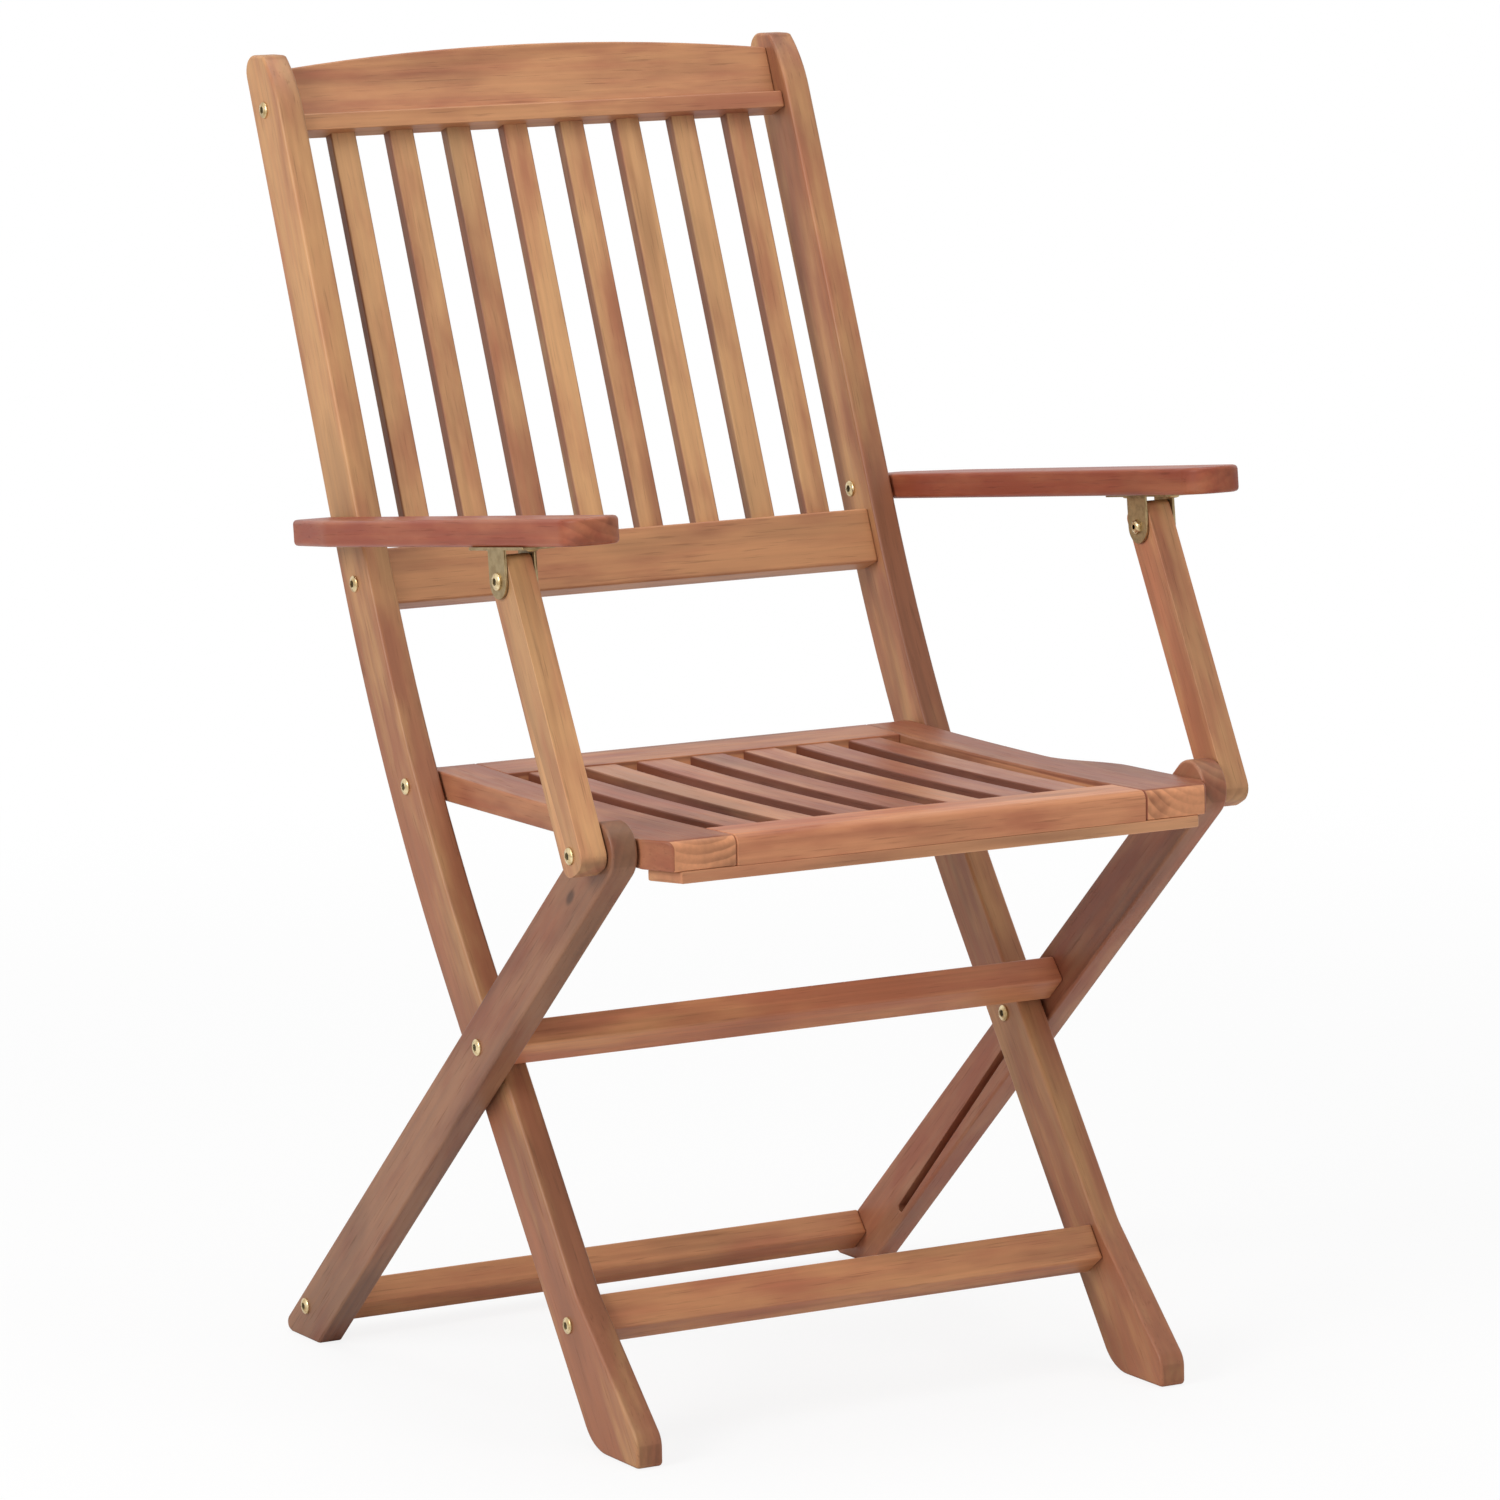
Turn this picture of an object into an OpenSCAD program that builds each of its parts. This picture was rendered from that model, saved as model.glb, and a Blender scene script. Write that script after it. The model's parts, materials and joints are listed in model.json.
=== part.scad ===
// Folding garden armchair in oiled hardwood with brass-coloured fittings.
// Two bent stiles carry the back, the front stretcher and every fixed pivot.
// The seat swings up about the seat pivots, the rear legs hang from the seat's front
// corners and run in grooves on the guide pins, and the arms follow on two struts.
// Right-hand axes in millimetres: +Z up, front toward -Y, the sitter's left at +X.
// The origin lies on the floor below the middle of the chair's outer box.

/* [Back frame] */
// Clear width between the two stiles
clear_w = 385; // [350:5:420]
// Height of the stiles' flat tops above the floor
back_h = 900; // [870:5:930]
// Depth of a stile, seen from the side
stile_w = 42; // [38:1:46]
// Thickness of a stile, across the chair
stile_t = 19.5; // [18:0.5:22]
// Height at which the two straight centre-lines of a stile would meet
knee_z = 420; // [412:1:428]
// Lean of the stile's upper part, from the floor in degrees
upper_lean = 68.7; // [67.5:0.1:70]
// Lean of the stile's lower part, from the floor in degrees
lower_lean = 54.3; // [53:0.1:55.5]
// Radius of the stile's bend, on its centre-line
bend_r = 1200; // [1000:10:1250]
// Radius of the stile top's rear corner
top_rear_r = 12; // [6:1:15]
// Distance below a stile's top at which its front edge starts to curve back
top_curve_len = 41; // [30:1:44]
// Radius of that curve
top_curve_r = 98; // [90:1:120]
// Length of a front foot's flat sole, from the heel's corner to the toe
sole_len = 63; // [56:1:70]
// Height of the toe's upright front face
toe_h = 19; // [14:1:24]
// Height at which the foot starts to flare to the toe
flare_h = 100; // [85:1:115]
// Radius of a front foot's heel
heel_r = 33; // [20:1:38]

/* [Back rest] */
// Distance of the lower back rail's top edge below the arm pivots, along the stile
low_rail_drop = 19.5; // [16:0.5:26]
// Height of the lower back rail
low_rail_h = 40; // [34:1:44]
// Height of the crest rail at its ends
crest_h = 49; // [42:1:54]
// Distance of the crest rail's underside below the stiles' tops, along the stile
crest_drop = 60.7; // [56:0.1:68]
// Rise of the crest's arched top edge at its middle
crest_arch = 10.7; // [5:0.1:14]
// Thickness of both back rails, front to rear
rail_t = 21; // [19:0.5:23]
// Setback of both rails' front faces from the stile's front edge
rail_setback = 7; // [5:0.5:9]
// Height of the lip along the crest's lower edge
lip_h = 12.5; // [10:0.5:15]
// Depth of the cove above the lip
cove_depth = 10; // [8:0.5:10.5]
// Width of a back slat
back_slat_w = 19.5; // [15:0.5:22]
// Thickness of a back slat
back_slat_t = 10; // [8:0.5:11]
// Gap between a stile and the back slat next to it
slat_end_gap = 25; // [20:0.5:32]

/* [Seat] */
// Height of the seat's mid-plane and of its pivots
seat_z = 410.5; // [404:0.5:416]
// Thickness of the seat boards
seat_t = 20; // [18:0.5:22]
// Distance of the seat pivot behind the stile's front edge
seat_pivot_inset = 15.3; // [13:0.1:18]
// Distance from the seat pivots forward to the leg pivots
seat_span = 320.5; // [312:0.5:328]
// Length of the seat in front of the leg pivots
seat_nose = 42.5; // [38:0.5:48]
// Length of the seat behind the seat pivots
seat_tail = 9; // [6:0.5:12]
// Width of a seat side board at the rear
side_board_w = 36; // [30:1:42]
// Depth of the board across the front of the seat
front_board_d = 42; // [36:1:50]
// Depth of the rail across the rear of the seat
rear_rail_d = 50; // [40:1:56]
// Distance from the seat pivots forward to where the seat starts to widen
shoulder_start = 181; // [175:1:200]
// Length over which the seat widens
shoulder_len = 70; // [50:1:80]
// Width cut off each front corner of the seat
corner_w = 11.5; // [8:0.5:16]
// Length cut off each front corner of the seat
corner_d = 23; // [15:1:28]
// Radius of the seat's front top edge
nose_r = 6; // [3:0.5:8]
// Depth of the hollow in the seat's top
dish = 2.5; // [1:0.5:4]
// Gap between two seat slats
seat_gap = 16; // [12:0.5:18]
// Thickness of a seat slat
seat_slat_t = 14; // [12:0.5:16]
// Thickness of the batten under the seat's front edge
batten_t = 8; // [6:0.5:10]
// Depth of the batten, front to rear
batten_d = 24; // [20:1:28]
// Setback of the batten's ends from the seat's cut corners
batten_inset = 6; // [4:0.5:10]

/* [Rear legs] */
// Depth of a rear leg, seen from the side
leg_w = 40; // [36:1:44]
// Thickness of a rear leg, across the chair
leg_t = 19; // [18:0.5:22]
// Distance of the guide pins below the knee, along the stile
guide_pin_drop = 236.7; // [230:0.1:242]
// Distance of the guide pin from the leg's centre-line with the chair open
guide_pin_offset = 2.5; // [1:0.1:4]
// Lean of the guide groove against the leg's centre-line, in degrees
groove_skew = 2.2; // [1:0.1:2.6]
// Depth of the guide groove
groove_depth = 8; // [6:0.5:10]
// Size of the upper stretcher along the leg
upper_stretcher_w = 25; // [22:0.5:28]
// Size of the lower stretcher along the leg
lower_stretcher_w = 24; // [20:0.5:26]
// Thickness of both leg stretchers, across the leg
stretcher_t = 20; // [18:0.5:22]
// Distance of the lower stretcher's bolts from the sole, along the leg
lower_stretcher_rise = 25; // [22:0.5:30]
// Distance of the lower stretcher above the leg's centre-line
lower_stretcher_offset = 9.5; // [7:0.5:10]
// Distance of the front stretcher below the knee, along the stile
front_stretcher_drop = 421; // [410:1:430]
// Size of the front stretcher along the stile
front_stretcher_w = 26; // [22:0.5:30]
// Thickness of the front stretcher
front_stretcher_t = 24; // [20:0.5:26]
// Setback of the front stretcher from the stile's front edge
front_stretcher_setback = 5; // [4:0.5:8]

/* [Arms] */
// Width of an arm
arm_w = 42; // [38:1:48]
// Thickness of an arm
arm_t = 18; // [16:0.5:20]
// Height of the arm pivots above the seat pivots
arm_rise = 168; // [160:1:174]
// Distance of the arm pivot behind the stile's centre-line
arm_pivot_offset = 3.7; // [0:0.1:5]
// Rise of the arms toward the front, in degrees
arm_slope = 5.6; // [5:0.1:6.5]
// Reach of an arm in front of its pivot
arm_reach = 425; // [400:1:440]
// Length of an arm behind its pivot
arm_tail = 13; // [11:1:16]
// Radius of an arm's front corners
arm_front_r = 18; // [12:1:20]
// Narrowing of the arm's rear end on its outer side
arm_taper_w = 11; // [6:0.5:14]
// Length of that narrowing
arm_taper_len = 75; // [60:1:85]

/* [Struts and brackets] */
// Width of a strut, seen from the side
strut_w = 28; // [26:0.5:30]
// Thickness of a strut, across the chair
strut_t = 19; // [18:0.5:21]
// Length of a strut past its lower pivot
strut_toe = 13; // [12:0.5:15]
// Length of a strut past its upper pivot
strut_head = 15; // [13:0.5:15.5]
// Corner radius of a strut's lower end
strut_toe_r = 10; // [8:0.5:12]
// Corner radius of a strut's upper end
strut_head_r = 6; // [5:0.5:8]
// Thickness of the bracket strip
strip_t = 2; // [1.5:0.1:2.5]
// Width of a bracket ear
ear_w = 23; // [20:0.5:26]
// Length of a bracket's top plate
plate_len = 77; // [70:1:84]

/* [Hardware] */
// Diameter of the bolt shanks
bolt_d = 6; // [5:0.5:6]
// Diameter of the bolt heads
head_d = 11.5; // [10:0.5:12]
// Height of the bolt heads
head_h = 2.8; // [2:0.1:2.8]
// Width across the flats of the hex sockets
socket_af = 4; // [3:0.5:4]
// Length of thread or plain shank held in the second piece
bolt_grip = 26; // [20:1:30]
// Diameter of the screws
screw_d = 3.5; // [3:0.5:4]
// Length of the screws in the wood
screw_len = 14; // [10:0.5:15]

/* [Fits] */
// Gap between a stile and the rear leg beside it
leg_gap = 3; // [3:0.1:4]
// Gap between a stile and the arm beside it
arm_gap = 2; // [1.5:0.1:2.5]
// Gap between a rear leg and the strut beside it
strut_gap = 1; // [0.8:0.1:1.5]
// Gap between the seat and the stiles or legs beside it
seat_side_gap = 1.5; // [1:0.1:2]
// Gap between a bracket ear and the strut
ear_gap = 0.5; // [0.3:0.1:0.8]
// Radial clearance of a bolt in its hole
running_fit = 0.05; // [0.02:0.01:0.1]
// Clearance of a tenon in its mortise
joint_fit = 0.1; // [0.05:0.05:0.2]
// Gap between the upper stretcher and the stiles with the chair open
stop_gap = 3.5; // [0.5:0.1:5]
// Gap between the end of a guide pin and the leg beside it
pin_end_gap = 0.4; // [0.3:0.1:1]
// Swing of the seat from open to folded, in degrees
fold_angle = 102; // [96:1:104]

/* [Hidden] */
$fn = 64;
honey = "#b9814f";
tan_wood = "#a86f42";
red_wood = "#93502f";
dark_wood = "#855433";
brass = "#b59b62";

// Numbers of slats; each slat is a node of its own
back_slats = 8;
seat_slats = 7;

// Sides: +1 is the sitter's left, -1 the right
left = 1;
right = -1;
LEFT_RIGHT = [right, left];

// Positions across the chair, measured outward from the middle
stile_in = clear_w / 2;
stile_out = stile_in + stile_t;
leg_in = stile_out + leg_gap;
leg_out = leg_in + leg_t;
strut_in = leg_out + strut_gap;
strut_out = strut_in + strut_t;
arm_in = stile_out + arm_gap;
arm_out = arm_in + arm_w;
seat_rear_x = stile_in - seat_side_gap;
seat_front_x = leg_in - seat_side_gap;
board_in = seat_rear_x - side_board_w;

// Side view, [y, z], first measured from the point on the floor below the knee
function unit(v) = v / norm(v);
function along(angle) = [cos(angle), sin(angle)];
function rear_of(angle) = [sin(angle), -cos(angle)];
function turned(v, angle) = [v.x * cos(angle) - v.y * sin(angle), v.x * sin(angle) + v.y * cos(angle)];
function arc(centre, r, from, to, steps) =
    [for (i = [0:steps]) centre + r * along(from + (to - from) * i / steps)];

// Corner of an outline replaced by an arc, and an outline with a radius for each corner
function corner(before, at, after, r, steps) =
    let (
        u = unit(before - at),
        v = unit(after - at),
        half = acos(u * v) / 2,
        centre = at + unit(u + v) * r / sin(half),
        first = at + u * r / tan(half) - centre,
        last = at + v * r / tan(half) - centre,
        start = atan2(first.y, first.x),
        sweep = (atan2(last.y, last.x) - start + 540) % 360 - 180
    )
    arc(centre, r, start, start + sweep, steps);
function rounded(points, radii, steps = 6) =
    let (n = len(points))
    [for (i = [0:n - 1]) each radii[i] == 0
        ? [points[i]]
        : corner(points[(i + n - 1) % n], points[i], points[(i + 1) % n], radii[i], steps)];

// Stile: straight above and below, with one bend between
knee = [0, knee_z];
bend = upper_lean - lower_lean;
bend_len = bend_r * tan(bend / 2);
bend_centre = knee + bend_len * along(upper_lean) - bend_r * rear_of(upper_lean);
half_stile = stile_w / 2;
bend_steps = 12;
function upper_pt(rise, rear) = knee + rise * along(upper_lean) + rear * rear_of(upper_lean);
function lower_pt(drop, rear) = knee - drop * along(lower_lean) + rear * rear_of(lower_lean);
function lower_at_z(z, rear) =
    lower_pt((knee_z - z - rear * cos(lower_lean)) / sin(lower_lean), rear);
function upper_at_z(z, rear) =
    upper_pt((z - knee_z + rear * cos(upper_lean)) / sin(upper_lean), rear);
function bend_edge(rear) =
    arc(bend_centre, bend_r + rear, lower_lean - 90, upper_lean - 90, bend_steps);
heel = lower_at_z(0, half_stile);
toe_y = heel.x - sole_len;

// Pivots in the side view; seat, arm, strut and stile form a parallelogram
pivot_r = bend_r - half_stile + seat_pivot_inset;
seat_pivot = [bend_centre.x + sqrt(pivot_r ^ 2 - (seat_z - bend_centre.y) ^ 2), seat_z];
leg_pivot = seat_pivot - [seat_span, 0];
arm_pivot = upper_at_z(seat_z + arm_rise, arm_pivot_offset);
strut_pivot = arm_pivot - [seat_span, 0];
guide_pin = lower_pt(guide_pin_drop, 0);

// Rear leg: its centre-line leaves the leg pivot and passes above the guide pin
pin_vec = guide_pin - leg_pivot;
pin_reach = sqrt(norm(pin_vec) ^ 2 - guide_pin_offset ^ 2);
leg_angle = atan2(pin_vec.y, pin_vec.x) + asin(guide_pin_offset / norm(pin_vec));
function leg_pt(reach, rise) = leg_pivot + reach * along(leg_angle) - rise * rear_of(leg_angle);
leg_len = -leg_pivot.y / sin(leg_angle);
half_leg = leg_w / 2;
function leg_at_floor(rise) = leg_pt((leg_pivot.y + rise * cos(leg_angle)) / -sin(leg_angle), rise);

// The guide pin's place in the groove with the seat folded up
folded_leg_pivot = seat_pivot + turned(leg_pivot - seat_pivot, -fold_angle);
folded_pin_dist = norm(guide_pin - folded_leg_pivot);
groove_len = folded_pin_dist - pin_reach + bolt_d / 2;
groove_d = bolt_d + 2 * joint_fit;

// The upper stretcher stops against the stiles' front edges with the chair open
front_normal = -rear_of(lower_lean);
stretcher_half = upper_stretcher_w / 2 * abs(along(leg_angle) * front_normal)
    + stretcher_t / 2 * abs(rear_of(leg_angle) * front_normal);
upper_stretcher_reach =
    (half_stile + stop_gap + stretcher_half - (leg_pivot - knee) * front_normal)
    / (along(leg_angle) * front_normal);
upper_stretcher_at = leg_pt(upper_stretcher_reach, 0);
lower_stretcher_at = leg_pt(leg_len - lower_stretcher_rise, lower_stretcher_offset);
front_stretcher_centre = front_stretcher_setback + front_stretcher_t / 2 - half_stile;
front_stretcher_at = lower_pt(front_stretcher_drop, 0);

// Back rails, in the stile's upper frame
rail_front = rail_setback - half_stile;
rail_bolt_rear = rail_front + (cove_depth + rail_t) / 2;
slat_front = rail_front + cove_depth;
back_pitch = (clear_w - 2 * slat_end_gap - back_slat_w) / (back_slats - 1);
arm_pivot_rise = (seat_z + arm_rise - knee_z + arm_pivot_offset * cos(upper_lean)) / sin(upper_lean);
low_rail_top = arm_pivot_rise - low_rail_drop;
low_rail_rise = low_rail_top - low_rail_h;
crest_rise = (back_h - knee_z) / sin(upper_lean) - crest_drop;
slat_span = crest_rise - low_rail_top;
crest_bolt_rise = crest_rise + crest_h * 3 / 7;
low_rail_bolt_rise = low_rail_rise + low_rail_h / 2;
tenon_len = 10;
tenon_shoulder = 2;
crest_arch_r = (stile_in ^ 2 + crest_arch ^ 2) / (2 * crest_arch);

// Seat, in the side view
seat_top = seat_z + seat_t / 2;
seat_bottom = seat_z - seat_t / 2;
seat_front_y = leg_pivot.x - seat_nose;
seat_rear_y = seat_pivot.x + seat_tail;
front_board_y = seat_front_y + front_board_d;
rear_rail_y = seat_rear_y - rear_rail_d;
seat_slat_w = (2 * board_in - (seat_slats + 1) * seat_gap) / seat_slats;
seat_slat_pitch = seat_slat_w + seat_gap;
seat_slat_top = seat_top - 1;
edge_r = 3;
shoulder_steps = 12;

// Arm, bracket and strut
strut_lean = atan2(strut_pivot.y - leg_pivot.y, strut_pivot.x - leg_pivot.x);
strut_len = norm(strut_pivot - leg_pivot);
bracket_reach = seat_span * cos(arm_slope);
bracket_drop = seat_span * sin(arm_slope);
ear_in = strut_in - ear_gap - strip_t;
ear_out = strut_out + ear_gap + strip_t;
plate_top = bracket_drop - arm_t / 2;
plate_screw = plate_len / 2 - 10;

// The chair's outer box in the side view, used to put the origin below its middle
top_corner = upper_at_z(back_h - top_rear_r, half_stile - top_rear_r);
box_rear = max(top_corner.x + top_rear_r, leg_at_floor(half_leg).x);
box_front = min(seat_front_y, toe_y);
box_mid = (box_rear + box_front) / 2;

// Places pieces drawn in the side view's frame
module chair_frame() {
    translate([0, -box_mid, 0]) children();
}

// Outline of [y, z] points extruded across the chair between two x positions
module across(x0, x1, points) {
    translate([min(x0, x1), 0, 0]) rotate([90, 0, 90]) linear_extrude(abs(x1 - x0)) polygon(points);
}

// A round bar across the chair
module across_bar(x0, x1, at, d) {
    translate([min(x0, x1), at.x, at.y]) rotate([0, 90, 0]) cylinder(d = d, h = abs(x1 - x0));
}

// Running hole for a bolt, exactly between the two positions
module bore(x0, x1, at) {
    across_bar(x0, x1, at, bolt_d + 2 * running_fit);
}

// The same hole, drilled right through a board between the two positions
module drill(x0, x1, at) {
    bore(min(x0, x1) - 1, max(x0, x1) + 1, at);
}

// Low round bolt head with a hex socket, on the plane z = 0
module bolt_head(d = head_d, h = head_h, af = socket_af) {
    rim = h * 0.35;
    dome_r = ((d / 2) ^ 2 + (h - rim) ^ 2) / (2 * (h - rim));
    difference() {
        intersection() {
            cylinder(d = d, h = h);
            translate([0, 0, h - dome_r]) sphere(r = dome_r);
        }
        translate([0, 0, h * 0.4]) cylinder(d = af / cos(30), h = h, $fn = 6);
    }
}

// Bolt along x: its head bears on the face at head_x and its shank runs to tip_x
module bolt(head_x, tip_x, at) {
    turn = tip_x < head_x ? 90 : -90;
    translate([head_x, at.x, at.y]) rotate([0, turn, 0]) bolt_head();
    across_bar(head_x, tip_x, at, bolt_d);
}

// Flat ring around a bolt
module washer(x0, x1, at) {
    difference() {
        across_bar(x0, x1, at, head_d + 2);
        drill(x0, x1, at);
    }
}

// Curve by which a stile's front edge runs back to its top
function top_curve() = let (
        start = upper_at_z(back_h, -half_stile) - top_curve_len * along(upper_lean),
        centre = start + top_curve_r * rear_of(upper_lean)
    )
    arc(centre, top_curve_r, 180 - asin((back_h - centre.y) / top_curve_r), upper_lean + 90, 8);

// Outline of a stile, round from the heel
function stile_points() = let (
        front_low = lower_at_z(flare_h, -half_stile),
        rear_top = upper_at_z(back_h, half_stile),
        front_top = upper_at_z(back_h, -half_stile),
        rear_edge = bend_edge(half_stile),
        front_edge = bend_edge(-half_stile),
        toe = [toe_y, 0],
        toe_top = [toe_y, toe_h],
        flare_r = 16,
        toe_r = 3,
        n = bend_steps
    )
    concat(
        corner(toe, heel, rear_edge[0], heel_r, 8),
        rear_edge,
        corner(rear_edge[n], rear_top, front_top, top_rear_r, 8),
        top_curve(),
        [for (i = [n:-1:0]) front_edge[i]],
        corner(front_edge[0], front_low, toe_top, heel_r * 2, 6),
        corner(front_low, toe_top, toe, flare_r, 6),
        corner(toe_top, toe, heel, toe_r, 4)
    );

module stile(side) {
    x0 = side * stile_in;
    x1 = side * stile_out;
    difference() {
        across(x0, x1, stile_points());
        for (at = [
            upper_pt(crest_bolt_rise, rail_bolt_rear),
            upper_pt(low_rail_bolt_rise, rail_bolt_rear),
            front_stretcher_at, seat_pivot, arm_pivot, guide_pin
        ]) drill(x0, x1, at);
    }
}

module left_stile() {
    color(honey) chair_frame() stile(left);
}

module right_stile() {
    color(honey) chair_frame() stile(right);
}

// Turns pieces drawn with z along the back and y to the rear into the stile's upper frame
module back_frame_axes() {
    translate([0, knee.x, knee.y]) rotate([upper_lean - 90, 0, 0]) children();
}

// Mortises for the slats' tenons, cut into a rail's face at the given rise
module slat_mortises(rise, up) {
    depth = tenon_len + 2 * joint_fit;
    for (i = [0:back_slats - 1]) {
        x = (i - (back_slats - 1) / 2) * back_pitch;
        w = back_slat_w - 2 * tenon_shoulder + 2 * joint_fit;
        t = back_slat_t - 2 * tenon_shoulder + 2 * joint_fit;
        translate([x, slat_front + back_slat_t / 2, rise + up * (depth / 2 - 1)])
            cube([w, t, depth + 2], center = true);
    }
}

// Screw holes in a rail's ends
module end_bores(at, grip = bolt_grip) {
    for (side = LEFT_RIGHT) bore(side * (stile_in + 1), side * (stile_in - grip - 1), at);
}

module lower_back_rail() {
    color(tan_wood) chair_frame() difference() {
        back_frame_axes() difference() {
            translate([-stile_in, rail_front, low_rail_rise]) cube([clear_w, rail_t, low_rail_h]);
            slat_mortises(low_rail_top, -1);
        }
        end_bores(upper_pt(low_rail_bolt_rise, rail_bolt_rear));
    }
}

module crest_rail() {
    color(tan_wood) chair_frame() difference() {
        back_frame_axes() difference() {
            translate([-stile_in, rail_front, crest_rise]) cube([clear_w, rail_t, crest_h + crest_arch]);
            slat_mortises(crest_rise, 1);
            // Cove along the front face above the lip
            translate([-stile_in - 1, rail_front - 1, crest_rise + lip_h])
                cube([clear_w + 2, cove_depth + 1, crest_h + crest_arch]);
            // Arched top edge
            translate([0, rail_front - 1, 0]) rotate([-90, 0, 0]) linear_extrude(rail_t + 2)
                polygon(concat(
                    [for (p = arc([0, -(crest_rise + crest_h + crest_arch - crest_arch_r)], crest_arch_r,
                        -90 - asin(stile_in / crest_arch_r), -90 + asin(stile_in / crest_arch_r), 16)) p],
                    [[stile_in + 1, -(crest_rise + crest_h)],
                    [stile_in + 1, -(crest_rise + crest_h + 2 * crest_arch)],
                    [-stile_in - 1, -(crest_rise + crest_h + 2 * crest_arch)],
                    [-stile_in - 1, -(crest_rise + crest_h)]]
                ));
        }
        end_bores(upper_pt(crest_bolt_rise, rail_bolt_rear));
    }
}

module back_slat(i) {
    x = (i - (back_slats + 1) / 2) * back_pitch;
    w = back_slat_w - 2 * tenon_shoulder;
    t = back_slat_t - 2 * tenon_shoulder;
    color(i % 2 == 0 ? honey : tan_wood) chair_frame() back_frame_axes() {
        translate([x - back_slat_w / 2, slat_front, low_rail_top]) cube([back_slat_w, back_slat_t, slat_span]);
        translate([x - w / 2, slat_front + tenon_shoulder, low_rail_top - tenon_len])
            cube([w, t, slat_span + 2 * tenon_len]);
    }
}

module front_stretcher() {
    half_w = front_stretcher_w / 2;
    front = front_stretcher_centre - front_stretcher_t / 2;
    back = front_stretcher_centre + front_stretcher_t / 2;
    d = front_stretcher_drop;
    color(tan_wood) chair_frame() difference() {
        across(-stile_in, stile_in, [lower_pt(d + half_w, front), lower_pt(d + half_w, back),
            lower_pt(d - half_w, back), lower_pt(d - half_w, front)]);
        end_bores(front_stretcher_at);
    }
}

// Bolts that join the rails to the stiles, with their heads on the stiles' outer faces
module rail_bolts(at) {
    color(brass) chair_frame()
        for (side = LEFT_RIGHT) bolt(side * stile_out, side * (stile_in - bolt_grip), at);
}

module crest_bolts() {
    rail_bolts(upper_pt(crest_bolt_rise, rail_bolt_rear));
}

module back_rail_bolts() {
    rail_bolts(upper_pt(low_rail_bolt_rise, rail_bolt_rear));
}

module front_stretcher_bolts() {
    rail_bolts(front_stretcher_at);
}

module seat_pivot_bolts() {
    rail_bolts(seat_pivot);
}

// The arms' pivot bolts have their heads on the stiles' inner faces
module arm_pivot_bolts() {
    color(brass) chair_frame()
        for (side = LEFT_RIGHT) bolt(side * stile_in, side * (arm_in + bolt_grip), arm_pivot);
}

// The guide pins stand out of the stiles into the gap beside the grooved legs
module guide_pins() {
    color(brass) chair_frame()
        for (side = LEFT_RIGHT) bolt(side * stile_in, side * (leg_in - pin_end_gap), guide_pin);
}

// Seat
module seat_profile(x0, x1, top = seat_top, bottom = seat_bottom) {
    half = (seat_rear_y - seat_front_y) / 2;
    dish_r = (half ^ 2 + dish ^ 2) / (2 * dish);
    mid_y = (seat_rear_y + seat_front_y) / 2;
    flat = nose_r + edge_r;
    across(x0, x1, concat(
        [[seat_rear_y, bottom]],
        corner([seat_rear_y, bottom], [seat_rear_y, top], [mid_y, top], edge_r, 4),
        [for (i = [0:12])
            let (t = 1 - 2 * i / 12, y = mid_y + t * (half - flat))
            [y, top - dish * (1 - t ^ 2)]],
        corner([mid_y, top], [seat_front_y, top], [seat_front_y, bottom], nose_r, 6),
        [[seat_front_y, bottom]]
    ));
}

function shoulder(t) = seat_rear_x + (seat_front_x - seat_rear_x) * (1 - cos(180 * t)) / 2;
function side_board_outline() = concat(
    [[board_in, seat_rear_y], [board_in, seat_front_y], [seat_front_x - corner_w, seat_front_y],
    [seat_front_x, seat_front_y + corner_d]],
    [for (i = [shoulder_steps:-1:0])
        let (t = i / shoulder_steps)
        [shoulder(t), seat_pivot.x - shoulder_start - shoulder_len * t]],
    corner([seat_rear_x, seat_front_y], [seat_rear_x, seat_rear_y], [board_in, seat_rear_y], edge_r * 2, 4)
);

module side_board(side) {
    difference() {
        intersection() {
            seat_profile(side * (board_in - 1), side * (seat_front_x + 1));
            mirror([side < 0 ? 1 : 0, 0, 0]) translate([0, 0, seat_bottom - 1])
                linear_extrude(seat_t + 2) polygon(side_board_outline());
        }
        bore(side * (seat_rear_x + 1), side * (stile_in - bolt_grip - 1), seat_pivot);
        bore(side * (seat_front_x + 1), side * (leg_in - bolt_grip - 1), leg_pivot);
        rail_mortise(side, front_board_y - front_board_d / 2, front_board_d);
        rail_mortise(side, rear_rail_y + rear_rail_d / 2, rear_rail_d);
        batten_holes();
    }
}

// Mortise in a side board, and the tenon that fits it
rail_tenon_len = 8;
rail_tenon_t = seat_t / 3;
rail_tenon_margin = 12;

module rail_mortise(side, y, d) {
    x = side * (board_in + rail_tenon_len / 2);
    translate([x, y, seat_z])
        cube([rail_tenon_len + 2 * joint_fit, d - rail_tenon_margin + 2 * joint_fit,
            rail_tenon_t + 2 * joint_fit], center = true);
}

module rail_tenons(y, d) {
    translate([0, y, seat_z])
        cube([2 * (board_in + rail_tenon_len), d - rail_tenon_margin, rail_tenon_t], center = true);
}

module left_seat_board() {
    color(red_wood) chair_frame() side_board(left);
}

module right_seat_board() {
    color(red_wood) chair_frame() side_board(right);
}

// Seat slats lie between the front board and the rear rail
slat_y0 = front_board_y;
slat_y1 = rear_rail_y;
seat_slat_tenon = 10;

function slat_x(i) = (i - (seat_slats + 1) / 2) * seat_slat_pitch;

module seat_slat_tenons(i, fit) {
    w = seat_slat_w - 2 * tenon_shoulder + 2 * fit;
    t = rail_tenon_t + 2 * fit;
    reach = seat_slat_tenon + fit;
    translate([slat_x(i) - w / 2, slat_y0 - reach, seat_z - t / 2])
        cube([w, slat_y1 - slat_y0 + 2 * reach, t]);
}

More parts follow.
